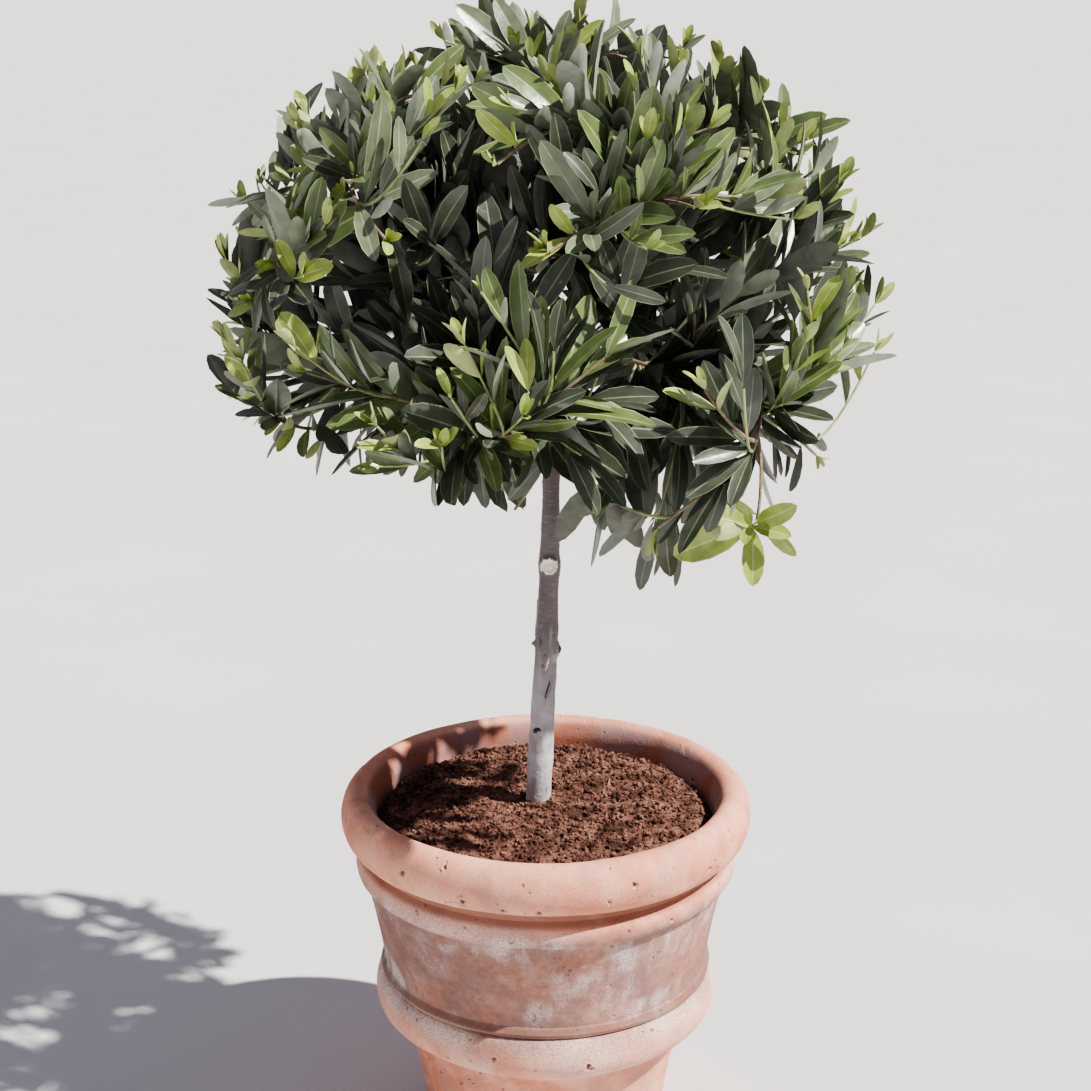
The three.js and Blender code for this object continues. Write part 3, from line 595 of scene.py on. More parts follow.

# The trunk
# A bare young stem, leaning a little to the right and swollen at its old nodes.
# Smooth grey bark with fine level lenticels, greyer at the foot and browner higher up: partly its own tone,
# partly painted shade where the crown shades the upper stem.
# Side shoots were rubbed and cut off it, which left a stub, a long seam and a pale round scar.
TRUNK_FOOT = Vector((-0.0046, 0, SOIL_LEVEL + CLEAR))
TRUNK_TOP = Vector((0.0046, 0, 0.488))
TRUNK_BOW = 0.0016
TRUNK_FOOT_RADIUS, TRUNK_TOP_RADIUS, TRUNK_TAPER_POWER = 0.0081, 0.0037, 1.15
TRUNK_FLARE, TRUNK_FLARE_HEIGHT = 0.00019, 0.009
TRUNK_SLIMMER, TRUNK_SLIMMER_HEIGHT = 0.0007, 0.03
# Swollen old nodes: height above the foot, and swelling
KNOTS = [(0.028, 0.00054), (0.112, 0.0006), (0.152, 0.00078)]
KNOT_SPREAD = 0.005
TRUNK_SIDES, TRUNK_RING_CUTS, TRUNK_USUAL_RADIUS = 72, (99, 2), 0.007
# Relief of the bark: streaks drawn out upwards, and slow waves
BARK_STREAKS, STREAK_STRETCH, BARK_WAVES = [(0.00022, 420, 0.0)], (1, 1, 0.25), [(0.0005, 60, 2.0)]
# Level lenticels stand out where their noise passes a threshold
LENTICEL_HEIGHT, LENTICEL_GRAIN, LENTICEL_FROM, LENTICEL_STRETCH = 0.0006, 330, 0.25, (1, 1, 3.2)
TRUNK_LENGTH = TRUNK_TOP.z - TRUNK_FOOT.z
# Marks on the bark: level, azimuth, half width, half height, lift of the lump and of its rim, slant
SCARS = [
    (0.2655, 240, 0.0042, 0.0032, 0.0027, 0.0000, 0),
    (0.2672, 246, 0.0026, 0.0016, -0.0020, 0.0000, 0),
    (0.2925, 291, 0.0015, 0.0105, -0.0017, 0.0010, 41),
    (0.3085, 281, 0.0010, 0.0050, -0.0009, 0.0007, 30),
    (0.3165, 352, 0.0026, 0.0032, 0.0024, 0.0004, 0),
    (0.3200, 185, 0.0014, 0.0014, 0.0024, 0.0000, 0),
    (0.3370, 238, 0.0011, 0.0034, 0.0007, 0.0004, 60),
    (0.3700, 270, 0.0036, 0.0036, 0.0008, 0.0017, 0),
    (0.4020, 60, 0.0024, 0.0028, 0.0012, 0.0006, 0),
    (0.3450, 130, 0.0022, 0.0026, 0.0012, 0.0005, 0),
]
# The marks that show cut wood, by level: its slot, and how far out it reaches in half sizes. Slot 2 is
# dark: the old knot's own wood, and painted shade in the hollow by the low knot and in the long seam.
CUT_MARKS = {0.3700: (1, 1.25), 0.3085: (1, 0.7), 0.2925: (2, 0.55), 0.3165: (2, 0.8), 0.2672: (2, 0.8)}
CUT_RAGGED, CUT_GRAIN = 0.25, 450
# Where the raised rim of a mark runs and how wide it is, in half sizes
SCAR_RIM_AT, SCAR_RIM_WIDE = 1.25, 0.4


def trunk_point(share):
    point = TRUNK_FOOT.lerp(TRUNK_TOP, share)
    point.x += TRUNK_BOW * math.sin(math.pi * share)
    return point


def trunk_radius(share):
    height = share * TRUNK_LENGTH
    radius = TRUNK_FOOT_RADIUS + (TRUNK_TOP_RADIUS - TRUNK_FOOT_RADIUS) * share ** TRUNK_TAPER_POWER
    radius -= TRUNK_SLIMMER * math.exp(-height / TRUNK_SLIMMER_HEIGHT)
    radius += TRUNK_FLARE * math.exp(-height / TRUNK_FLARE_HEIGHT)
    for knot, swell in KNOTS:
        radius += swell * math.exp(-(((height - knot) / KNOT_SPREAD) ** 2))
    return radius


def rings_cut(piece, cuts):
    """Cuts every upright edge of a piece into equal lengths, which makes level rings."""
    ends = np.array([edge.vertices[:] for edge in piece.data.edges])
    places, _ = places_of(piece)
    upright = np.abs(places[ends[:, 0], 2] - places[ends[:, 1], 2]) > 1e-5
    subdivided(piece, False, upright, cuts)


def from_scar(scar, height, azimuth, radius):
    """How far a place on the bark is from the middle of a mark, in half sizes of the mark."""
    level, towards, wide, tall, _, _, slant = scar
    towards = math.radians(towards) + slant * (height - level)
    turn = (azimuth - towards + math.pi) % (2 * math.pi) - math.pi
    return math.hypot((height - level) / tall, turn * radius / wide)


def trunk_mesh():
    bpy.ops.object.select_all(action="DESELECT")
    bpy.ops.mesh.primitive_cylinder_add(
        vertices=TRUNK_SIDES,
        radius=TRUNK_FOOT_RADIUS,
        depth=TRUNK_LENGTH,
        location=(0, 0, TRUNK_FOOT.z + TRUNK_LENGTH / 2),
    )
    bpy.ops.object.transform_apply(location=True, rotation=True, scale=True)
    trunk = bpy.context.object
    for cuts in TRUNK_RING_CUTS:
        rings_cut(trunk, cuts)
    places, _ = places_of(trunk)
    azimuths = np.arctan2(places[:, 1], places[:, 0])
    shares = np.clip((places[:, 2] - TRUNK_FOOT.z) / TRUNK_LENGTH, 0, 1)
    rough = relief(places * STREAK_STRETCH, BARK_STREAKS) + relief(places, BARK_WAVES)
    marks = noise_at(places * LENTICEL_STRETCH, LENTICEL_GRAIN, 7.0)
    lenticels = np.clip(marks - LENTICEL_FROM, 0, 1) * LENTICEL_HEIGHT
    for i, (azimuth, share) in enumerate(zip(azimuths, shares)):
        radius = trunk_radius(share) + rough[i] + lenticels[i]
        for scar in SCARS:
            away = from_scar(scar, places[i, 2], azimuth, radius)
            lift, rim = scar[4:6]
            from_rim = (away - SCAR_RIM_AT) / SCAR_RIM_WIDE
            radius += lift * math.exp(-(away ** 2)) + rim * math.exp(-(from_rim ** 2))
        middle = trunk_point(share)
        places[i] = (
            middle.x + radius * math.cos(azimuth),
            middle.y + radius * math.sin(azimuth),
            middle.z,
        )
    set_places(trunk, places)
    return trunk


def bark(name, pale, brown, low, high):
    skin = Finish(name, 0.72, 0.35)
    up = skin.share(skin.level(), low, high)
    mottle = skin.patches(70, 6, 0.4, 0.65)
    tone = skin.mixed(up, pale, brown)
    tone = skin.mixed(skin.times(mottle, 0.5), tone, (0.19, 0.15, 0.14))
    streaks = skin.noise(160, 4, skin.stretched((1, 1, 0.14)))
    tone = skin.mixed(skin.share(streaks, 0.5, 0.72, 0.0, 0.55), tone, (0.5, 0.47, 0.44))
    level_marks = skin.patches(300, 3, 0.52, 0.7, 0.0, 0.5, (0.5, 0.5, 4.5))
    tone = skin.mixed(skin.times(level_marks, 0.5), tone, (0.46, 0.43, 0.43))
    dark = skin.patches(240, 3, 0.62, 0.72, 0.0, 0.7, (1, 1, 0.5))
    skin.colour(skin.mixed(dark, tone, (0.07, 0.052, 0.045)))
    skin.bumps((streaks, 0.35, 0.0006), (level_marks, 0.5, 0.0003), (skin.noise(900, 4), 0.4, 0.0003))
    return skin.material


def cut_wood(name, ring_colour, heart_colour):
    wood = Finish(name, 0.8, 0.3)
    grain = wood.noise(500, 4, wood.stretched((1, 1, 0.4)))
    wood.colour(wood.mixed(wood.share(grain, 0.4, 0.62), ring_colour, heart_colour))
    wood.bumps((grain, 0.5, 0.0004))
    return wood.material


def paint_scars(trunk):
    """The middles of the marks show cut wood: pale on the fresh cut, dark on the old knot, and the same
    dark as painted shade in the hollow by the low knot and in the long seam.
    """
    for face in trunk.data.polygons:
        middle = face.center
        axis = trunk_point((middle.z - TRUNK_FOOT.z) / TRUNK_LENGTH)
        azimuth = math.atan2(middle.y - axis.y, middle.x - axis.x)
        for scar in SCARS:
            away = from_scar(scar, middle.z, azimuth, TRUNK_USUAL_RADIUS)
            away *= 1 + CUT_RAGGED * noise.noise(middle * CUT_GRAIN)
            slot, reaches = CUT_MARKS.get(scar[0], (0, 0))
            if away < reaches:
                face.material_index = slot


trunk = trunk_mesh()
# The bark is pale at the foot and dark above: partly its own tone, partly painted shade of the crown on the
# upper stem.
trunk.data.materials.append(bark("grey_bark", (0.58, 0.56, 0.59), (0.15, 0.125, 0.133), 0.265, 0.335))
trunk.data.materials.append(cut_wood("pale_cut", (0.8, 0.7, 0.58), (0.95, 0.9, 0.82)))
# Dark wood of the old knot, also painted as shade into the hollow by the low knot and into the long seam.
trunk.data.materials.append(cut_wood("dark_knot_and_shade", (0.035, 0.026, 0.024), (0.1, 0.075, 0.065)))
paint_scars(trunk)
handed_over(trunk, "trunk_bark", ["trunk"])

# The boughs
# Ten boughs leave the upper trunk, bend outwards and each carry one mass of the round head.
# Thin brown bark with its own fine relief. They have grown in place and taper to their twigs.
CROWN_MIDDLE = np.array((0.002, 0, 0.508))
CROWN_HALF_WIDTH, CROWN_UP, CROWN_DOWN = 0.203, 0.188, 0.108
CROWN_DROOP, DROOP_AZIMUTH = 0.062, 318
ROUNDNESS_ABOVE, ROUNDNESS_BELOW = 2.06, 2.3
RINGS = [
    (["right", "back_right", "back_left", "left", "front"], 324, -12, 0.050,
     [0.462, 0.440, 0.468, 0.446, 0.455]),
    (["upper_front_right", "upper_back_right", "upper_back_left", "upper_front_left"], 298, 40, 0.044,
     [0.478, 0.472, 0.481, 0.475]),
    (["top"], 60, 86, 0.042, [None]),
]
BOUGH_FOOT_RADIUS, BOUGH_TIP_RADIUS, BOUGH_STRAIGHT_END = 0.003, 0.0021, 0.42
# The ridges of their bark: height, features per metre and shift of the noise
BARK_RIDGES = [(0.00028, 260, 0.0), (0.00016, 700, 4.0)]
LEADER_SWAY = np.array((0.002, -0.0015, 0))
LIMB_MARGIN, TRUNK_BALLS, BOUGH_BALLS, BALLS_END = 0.0012, 61, 24, 0.96
UP = np.array((0.0, 0.0, 1.0))


def unit(vector):
    return vector / np.linalg.norm(vector)


def direction(azimuth, elevation):
    level = math.cos(math.radians(elevation))
    turn = math.radians(azimuth)
    return np.array((level * math.cos(turn), level * math.sin(turn), math.sin(math.radians(elevation))))


class Axis:
    """A limb's or a twig's middle line: a curve that leaves its foot towards a bend."""

    def __init__(self, foot, bend, tip, foot_radius, tip_radius, way_back=0.0):
        self.foot, self.bend, self.tip = foot, bend, tip
        self.foot_radius, self.tip_radius, self.way_back = foot_radius, tip_radius, way_back
        self.last_leaf = 0.0
        line = self.at(np.linspace(0, 1, 9))
        self.length = np.linalg.norm(np.diff(line, axis=0), axis=1).sum()

    def at(self, shares):
        s = np.asarray(shares)[..., None]
        return (1 - s) ** 2 * self.foot + 2 * s * (1 - s) * self.bend + s * s * self.tip

    def cut_at(self, share):
        """The part of the line from its foot up to a share of it."""
        radius = self.foot_radius + (self.tip_radius - self.foot_radius) * share
        bend = self.foot + share * (self.bend - self.foot)
        return Axis(self.foot, bend, self.at(share), self.foot_radius, radius, self.way_back)

    def along(self, shares):
        s = np.asarray(shares)[..., None]
        slope = (1 - s) * (self.bend - self.foot) + s * (self.tip - self.bend)
        return slope / np.linalg.norm(slope, axis=-1, keepdims=True)


def bough_axis(mass):
    """A bough leaves the trunk upwards, bends out and ends square to its mass."""
    if mass["trunk_level"] is None:
        foot = np.array(TRUNK_TOP) - 0.002 * UP
        bend = (foot + mass["start"]) / 2 + LEADER_SWAY
    else:
        foot = np.array(trunk_point((mass["trunk_level"] - TRUNK_FOOT.z) / TRUNK_LENGTH))
        straight = BOUGH_STRAIGHT_END * np.linalg.norm(mass["start"] - foot)
        bend = mass["start"] - straight * mass["towards"]
    return Axis(foot, bend, mass["start"], BOUGH_FOOT_RADIUS, BOUGH_TIP_RADIUS)


def tubes(name, axes, sides, steps):
    """Tapering round limbs along the axes, bent as curves and then made one mesh."""
    curve = bpy.data.curves.new(name, "CURVE")
    curve.dimensions = "3D"
    curve.resolution_u = steps
    curve.bevel_depth = 1.0
    curve.bevel_resolution = sides // 2 - 2
    curve.use_fill_caps = True
    for axis in axes:
        spline = curve.splines.new("BEZIER")
        spline.bezier_points.add(1)
        ends = ((axis.foot, axis.foot_radius, 1), (axis.tip, axis.tip_radius, -1))
        for point, (place, radius, way) in zip(spline.bezier_points, ends):
            handle = way * (axis.bend - place) * 2 / 3
            point.co = place
            point.radius = radius
            point.handle_left = place - handle
            point.handle_right = place + handle
    limbs = bpy.data.objects.new(name, curve)
    bpy.context.scene.collection.objects.link(limbs)
    bpy.ops.object.select_all(action="DESELECT")
    limbs.select_set(True)
    bpy.context.view_layer.objects.active = limbs
    bpy.ops.object.convert(target="MESH")
    return bpy.context.object


masses = []
for names, first_azimuth, elevation, inner, trunk_levels in RINGS:
    for i, name in enumerate(names):
        towards = direction(first_azimuth + i * 360 / len(names), elevation)
        masses.append({
            "name": name,
            "towards": towards,
            "start": CROWN_MIDDLE + inner * towards,
            "inner": inner,
            "trunk_level": trunk_levels[i],
            "seed": 101 + 37 * len(masses),
        })
for mass in masses:
    mass["bough"] = bough_axis(mass)
    others = [other for other in masses if other is not mass]
    mass["borders"] = np.array([unit(mass["towards"] - other["towards"]) for other in others])

boughs = tubes("boughs", [mass["bough"] for mass in masses], 12, 36)
places, outward = places_of(boughs)
set_places(boughs, places + outward * relief(places, BARK_RIDGES)[:, None])
boughs.data.materials.append(bark("bough_bark", (0.24, 0.185, 0.15), (0.2, 0.135, 0.09), 0.44, 0.56))
handed_over(boughs, "boughs_bark", ["bough_" + mass["name"] for mass in masses])

# The twigs
# Each mass has one stem that carries on its bough, brown shoots that spring from it and from
# each other, and finer green shoots of this year. Round, tapering, grown out of their parents.
STEM_RADIUS, STEM_SHARE, STEM_ARCH = 0.002, 0.5, 0.003
SHOOT_RADIUS, SHOOT_TIP_RADIUS = 0.00135, 0.0008
FINE_RADIUS, FINE_TIP_RADIUS = 0.00095, 0.0006
SHOOT_TIPS, FINE_TIPS = 80, 500
LOWEST_TIP, LOWEST_FINE_TIP, TIP_PULL = -0.72, -0.82, 0.06
INNER_EVERY, INNER_SHARE = 6, 0.55
FINE_INNER_EVERY, FINE_INNER_SHARES = 2, (0.05, 0.75)
SHOOT_TIP_INSET, FINE_TIP_INSET = 0.031, 0.019
# Fine shoots are about this long, and one that leaves its way by a quarter turn counts as longer
FINE_LENGTH, FINE_TURN_COST = 0.052, 0.06
# How strongly fine shoots grow up rather than out, by the height of their tips in the crown
FINE_RISES = ((-0.9, -0.5, -0.1, 0.5), (-0.6, -0.1, 1.3, 1.6))
SHOOT_TRIES, SHOOT_CHECKED_AT = 6, np.linspace(0.1, 1, 7)
SPRING_FIRST, SPRING_LAST, SPRING_STEP, SPRING_TURN, SPRING_WAY_BACK = 0.12, 0.92, 0.08, 82, 0.35
SHOOT_LEAVES_ALONG, SHOOT_STRAIGHTENS, SHOOT_ARCH = 0.38, 0.35, 0.06
# The fine shoots turn up towards the light, and low in the crown they hang
FINE_ARCHES = ((-0.6, -0.3, 0.1), (0.12, -0.06, -0.14))
PLASTIC_RATIO = 1.324718
# How far brown shoots stay inside their mass's share of the crown, and fine ones may pass it
CELL_MARGIN, FINE_OVERLAP = 0.0004, -0.02
# One low shoot at the front right ends here, hangs and turns out again, and is all young
YOUNG_SPRAY_TIP, YOUNG_SPRAY_ARCH = np.array((0.1085, -0.104, 0.421)), -0.55


class Dice:
    """Seeded random numbers from a linear congruential rule."""

    def __init__(self, seed):
        self.state = seed

    def next(self):
        self.state = (self.state * 1664525 + 1013904223) % 2 ** 32
        return self.state / 2 ** 32

    def within(self, least, most):
        return least + (most - least) * self.next()


def reach(towards):
    """How far the crown's leaf tips reach from its middle in each direction."""
    turn = np.arctan2(towards[..., 1], towards[..., 0]) - math.radians(DROOP_AZIMUTH)
    below = CROWN_DOWN + CROWN_DROOP * np.maximum(0, np.cos(turn)) ** 3
    above = towards[..., 2] > 0
    vertical = np.where(above, CROWN_UP, below)
    power = np.where(above, ROUNDNESS_ABOVE, ROUNDNESS_BELOW)
    across = np.hypot(towards[..., 0], towards[..., 1]) / CROWN_HALF_WIDTH
    return (across ** power + (np.abs(towards[..., 2]) / vertical) ** power) ** (-1 / power)


def limb_balls():
    """Balls along the trunk and the boughs, which twigs and leaves keep clear of."""
    shares = np.linspace(0, 1, TRUNK_BALLS)
    middles = [np.array(trunk_point(share)) for share in shares]
    radii = [trunk_radius(share) + LIMB_MARGIN for share in shares]
    for mass in masses:
        for share in np.linspace(0, BALLS_END, BOUGH_BALLS):
            axis = mass["bough"]
            middles.append(axis.at(share))
            radii.append(axis.foot_radius + (axis.tip_radius - axis.foot_radius) * share + LIMB_MARGIN)
    return np.array(middles), np.array(radii)


BALL_MIDDLES, BALL_RADII = limb_balls()


def fits(points, mass, margin, limit=reach):
    """True if the points are clear of the limbs, in the mass's share of the crown and the limit."""
    offsets = points - CROWN_MIDDLE
    if (offsets @ mass["borders"].T < margin).any():
        return False
    lengths = np.linalg.norm(offsets, axis=1)
    if (lengths > limit(offsets / lengths[:, None])).any():
        return False
    gaps = np.linalg.norm(points[:, None] - BALL_MIDDLES, axis=2)
    return bool((gaps > BALL_RADII).all())


def spread_direction(index, lowest):
    """Directions spread evenly over the crown: both shares step by powers of the plastic ratio."""
    height = 1 + (lowest - 1) * ((0.5 + index / PLASTIC_RATIO) % 1)
    azimuth = 2 * math.pi * ((0.5 + index / PLASTIC_RATIO ** 2) % 1)
    across = math.sqrt(1 - height * height)
    return np.array((across * math.cos(azimuth), across * math.sin(azimuth), height))


def shoot_tips(mass, first, last, inset):
    """Where a mass's shoots end, nearest first: most at its outside, some inside it."""
    fine = first > 0
    every = FINE_INNER_EVERY if fine else INNER_EVERY
    tips = []
    for index in range(first, last):
        towards = spread_direction(index, LOWEST_FINE_TIP if fine else LOWEST_TIP)
        owner = max(masses, key=lambda other: towards @ other["towards"])
        if owner is not mass:
            continue
        towards = unit(towards + (mass["towards"] - towards) * TIP_PULL)
        outermost = reach(towards) - inset
        share = 1
        if index % every == every - 1:
            share = mass["dice"].within(*FINE_INNER_SHARES) if fine else INNER_SHARE
        distance = mass["inner"] + (outermost - mass["inner"]) * share
        tips.append(CROWN_MIDDLE + distance * towards)
    return sorted(tips, key=lambda tip: np.linalg.norm(tip - mass["start"]))


def stem_of(mass):
    length = STEM_SHARE * (reach(mass["towards"]) - mass["inner"])
    tip = mass["start"] + length * mass["towards"]
    bend = mass["start"] + 0.5 * length * mass["towards"] + STEM_ARCH * UP
    return Axis(mass["start"], bend, tip, STEM_RADIUS, SHOOT_RADIUS)


def shoot_to(tip, twigs, dice, radius, tip_radius, arch, way=None):
    """A shoot from the nearest place on the twigs so far, counting some of the way back.

    A fine one, which has a way to grow, comes from where it gets about its length instead.
    """
    shares = np.arange(SPRING_FIRST + SPRING_STEP * dice.next(), SPRING_LAST, SPRING_STEP)
    best = None
    for twig in twigs:
        feet = twig.at(shares)
        slopes = twig.along(shares)
        straight = np.linalg.norm(tip - feet, axis=1)
        way_back = twig.way_back + shares * twig.length
        costs = straight + SPRING_WAY_BACK * way_back
        if way is not None:
            costs = abs(straight - FINE_LENGTH) + FINE_TURN_COST * (1 - (tip - feet) @ way / straight)
        facing = ((tip - feet) * slopes).sum(1) / straight
        costs[facing < math.cos(math.radians(SPRING_TURN))] = np.inf
        i = int(np.argmin(costs))
        if costs[i] < (best[0] if best else np.inf):
            best = (costs[i], feet[i], slopes[i], straight[i], way_back[i])
    if best is None:
        return None
    _, foot, slope, straight, way_back = best
    bend = foot + SHOOT_LEAVES_ALONG * straight * slope
    bend = bend + ((foot + tip) / 2 - bend) * SHOOT_STRAIGHTENS + arch * straight * UP
    return Axis(foot, bend, tip, radius, tip_radius, way_back)


def grow_twigs(mass, dice):
    """The stem, the brown shoots as the solids have them, then the finer green ones."""
    mass["twigs"] = [stem_of(mass)]
    mass["shoots"] = []
    plan = [
        (0, SHOOT_TIPS, SHOOT_TIP_INSET, SHOOT_RADIUS, SHOOT_TIP_RADIUS, mass["twigs"]),
        (SHOOT_TIPS, FINE_TIPS, FINE_TIP_INSET, FINE_RADIUS, FINE_TIP_RADIUS, mass["shoots"]),
    ]
    for first, last, inset, radius, tip_radius, kind in plan:
        for tip in shoot_tips(mass, first, last, inset):
            out = unit(tip - CROWN_MIDDLE)
            arch, way, margin = SHOOT_ARCH, None, CELL_MARGIN
            if first > 0:
                margin = FINE_OVERLAP
                arch = np.interp(out[2], *FINE_ARCHES)
                way = unit(out + UP * np.interp(out[2], *FINE_RISES))
            for attempt in range(SHOOT_TRIES):
                shoot = shoot_to(tip, mass["twigs"], dice, radius, tip_radius, arch, way)
                if shoot and fits(shoot.at(SHOOT_CHECKED_AT), mass, margin):
                    kind.append(shoot)
                    break


for mass in masses:
    mass["dice"] = Dice(mass["seed"])
    grow_twigs(mass, mass["dice"])

spray_out = unit(YOUNG_SPRAY_TIP - CROWN_MIDDLE)
spray_mass = max(masses, key=lambda mass: spray_out @ mass["towards"])
young_spray = shoot_to(
    YOUNG_SPRAY_TIP, spray_mass["twigs"], spray_mass["dice"], FINE_RADIUS, FINE_TIP_RADIUS, YOUNG_SPRAY_ARCH
)
spray_mass["shoots"].append(young_spray)


def young_bark(name, old, fresh):
    skin = Finish(name, 0.6, 0.4)
    mottle = skin.patches(150, 5, 0.38, 0.64)
    grain = skin.noise(520, 3, skin.stretched((1, 1, 0.5)))
    tone = skin.mixed(mottle, old, fresh)
    skin.colour(skin.mixed(skin.share(grain, 0.55, 0.75, 0.0, 0.5), tone, (0.42, 0.4, 0.32)))
    skin.bumps((grain, 0.4, 0.0003))
    return skin.material


twigs = tubes("twigs", [twig for mass in masses for twig in mass["twigs"]], 8, 10)
twigs.data.materials.append(young_bark("twig_bark", (0.17, 0.12, 0.075), (0.25, 0.2, 0.13)))
handed_over(twigs, "brown_twigs", [])

# The leaves
# Narrow leathery olive leaves in opposite pairs, each pair a quarter turn from the last:
# deep grey-green above with a pale midrib, silvery below, and small yellow-green ones at the tips.
# One blade is modelled, and every leaf is a copy of it, bent and sized, in one mesh for each mass.
LEAF_STATIONS = [
    (0.0, 0.08), (0.06, 0.08), (0.17, 0.48), (0.36, 0.88), (0.58, 1.0), (0.79, 0.86), (0.94, 0.45),
]
LEAF_SECTION = [(-1, 0.1), (-0.93, 0.09), (-0.06, 0), (0.06, 0), (0.93, 0.09), (1, 0.1), (0, -0.08)]
LEAF_NODE_SPACING, FIRST_NODE = 0.013, 0.16
LEAF_LENGTH, LOW_LEAF_GROWTH = (0.034, 0.061), 1.14
LEAF_WIDTH_SHARE = (0.23, 0.31)
LEAF_ANGLE = (25, 52)
LEAF_OUTWARDS = 0.22
# A leaf's upper side faces along the twig, with so much of upwards and of outwards added
LEAF_FACES_UP, LEAF_FACES_OUT = 0.6, 0.35
YOUNG_WIDTH_SHARE = (0.28, 0.4)
YOUNG_STRETCH = 0.013
# How strongly leaves turn up, by the height of their place in the crown: down low they hang
LEAF_LIFTS = ((-0.8, -0.45, -0.15, 0.12, 0.6), (-1.4, -1.0, 0.0, 0.7, 1.1))
LEAF_LIFT_SPREAD, LEAF_BEND = (0.4, 1.2), (0.05, 0.55)
LEAF_ROLL, LEAF_TURNED_OVER, TURNED_OVER_BY = 0.45, 0.14, (1.5, 2.6)
# Twigs with a young tip: their share high in the crown and low, and the height between the two
FRESH_SHARE, LOW_FRESH_SHARE, LOWEST_FRESH = 0.82, 0.2, -0.25
# Sprays are deep green, green or grey by chance, greyer higher up, and always deep green inside: the dark
# deep green, more often low in the crown and always inside it, is partly their own tone and partly painted
# shade.
DEEP_SHARE, GREEN_SHARE, GREYER_ABOVE, INSIDE = 0.42, 0.92, 0.4, 0.75
# Leaves are this small at a young tip, and fully grown this far from it
TIP_GROWTH, FULLY_GROWN_AFTER, END_PAIR_SMALLER, END_PAIR_FOLD = 0.36, 0.034, 0.15, 0.62
# The last small pairs of a young tip, its buds: growth, and how wide they open
TIP_PAIRS = [(0.3, 0.5), (0.2, 0.25)]
BUD_GROWTH = 0.35
# The ragged outline, and where the crown is drawn in: azimuth, elevation, their spreads and the depth
RAGGED_SCALE, RAGGED_PROUD, RAGGED_DEPTH = 6.5, 0.035, 0.16
HOLLOWS = [
    (352, -14, 34, 6, 0.25), (352, -42, 18, 16, 0.2), (212, -40, 38, 15, 0.17), (274, -56, 32, 18, 0.15),
    (272, -36, 8, 16, 0.45), (316, -31, 12, 10, 0.28),
]
# The pairs of the young spray: how far back from its tip, growth and how wide they open
YOUNG_SPRAY_PAIRS = [
    (0.024, 0.72, 1.8), (0.015, 0.8, 2.0), (0.009, 0.78, 2.1), (0.005, 0.7, 2.0), (0.002, 0.55, 1.6),
    (0, 0.32, 0.8),
]
LEAF_TRIES, RETRY_TURN, RETRY_SHORTER = 7, (0.35, 0.9), 0.04
# Where along its midrib a leaf has to be clear of all that grew before it
LEAF_CHECKED_AT = np.array((0.35, 0.55, 0.78, 1.0))
# A fine shoot has at least so many leaves, and ends before a bare stretch of this length
FEWEST_LEAVES, BARE_STRETCH = 4, 0.03
LEAF_GAP, LOW_LEAF_GAP, BUD_GAP, LOW = 0.0044, 0.0088, 0.0012, -0.3
BORDER_OVERLAP, MOST_PLACES = -0.032, 100000
# Colours of the upper side, of midrib and edges, and of the under side, then the roughness above
LEAF_KINDS = {
    # deep: a darker green, partly painted shade for leaves inside and low in the crown
    "deep": ((0.06, 0.073, 0.046), (0.2, 0.23, 0.14), (0.14, 0.153, 0.124), 0.3),
    "green": ((0.132, 0.184, 0.06), (0.31, 0.37, 0.18), (0.22, 0.255, 0.175), 0.31),
    "grey": ((0.155, 0.188, 0.11), (0.32, 0.36, 0.24), (0.38, 0.41, 0.33), 0.34),
    # young: their own yellow-green, made brighter as a painted glow of light shining through them
    "young": ((0.35, 0.44, 0.095), (0.54, 0.6, 0.26), (0.41, 0.47, 0.19), 0.36),
}
KIND_NAMES = list(LEAF_KINDS)
BLOTCH_SHADE, LEAF_SPECULAR = 0.72, 0.75


def leaf_blade():
    """One leaf, a length and a half width of one each: a flat seven-sided section pulled out."""
    bpy.ops.object.select_all(action="DESELECT")
    bpy.ops.mesh.primitive_circle_add(vertices=len(LEAF_SECTION), radius=1, fill_type="NGON")
    blade = bpy.context.object
    first = LEAF_STATIONS[0][1]
    section = [(0, first * across, 2 * first * lift) for across, lift in LEAF_SECTION]
    set_places(blade, np.array(section))
    bpy.ops.object.mode_set(mode="EDIT")
    bpy.ops.mesh.select_all(action="SELECT")
    for (place, width), (next_place, next_width) in zip(LEAF_STATIONS, LEAF_STATIONS[1:]):
        bpy.ops.mesh.extrude_region_move(
            TRANSFORM_OT_translate={"value": (next_place - place, 0, 0)}
        )
        wider = next_width / width
        bpy.ops.transform.resize(value=(1, wider, wider), center_override=(next_place, 0, 0))
    bpy.ops.mesh.extrude_region_move(
        TRANSFORM_OT_translate={"value": (1 - LEAF_STATIONS[-1][0], 0, 0)}
    )
    bpy.ops.mesh.merge(type="CENTER")
    bpy.ops.mesh.select_all(action="SELECT")
    bpy.ops.mesh.normals_make_consistent(inside=False)
    bpy.ops.object.mode_set(mode="OBJECT")
    return blade


def blade_parts(blade):
    """For each face, 0 on the upper side, 1 on the pale strips of midrib and edges, 2 below."""
    stations, widths = zip(*LEAF_STATIONS)
    parts = []
    for face in blade.data.polygons:
        corners = [blade.data.vertices[v].co for v in face.vertices]
        across = [abs(c.y) / np.interp(c.x, stations, widths) for c in corners if c.x < 0.99]
        pale = max(across) < 0.1 or min(across) > 0.9
        parts.append(2 if face.normal.z < 0 else (1 if pale else 0))
    return np.array(parts)


def turned_about(vector, axis, angle):
    """The vector turned about a unit axis."""
    across = np.cross(axis, vector)
    along = axis * (axis @ vector) * (1 - math.cos(angle))
    return vector * math.cos(angle) + across * math.sin(angle) + along


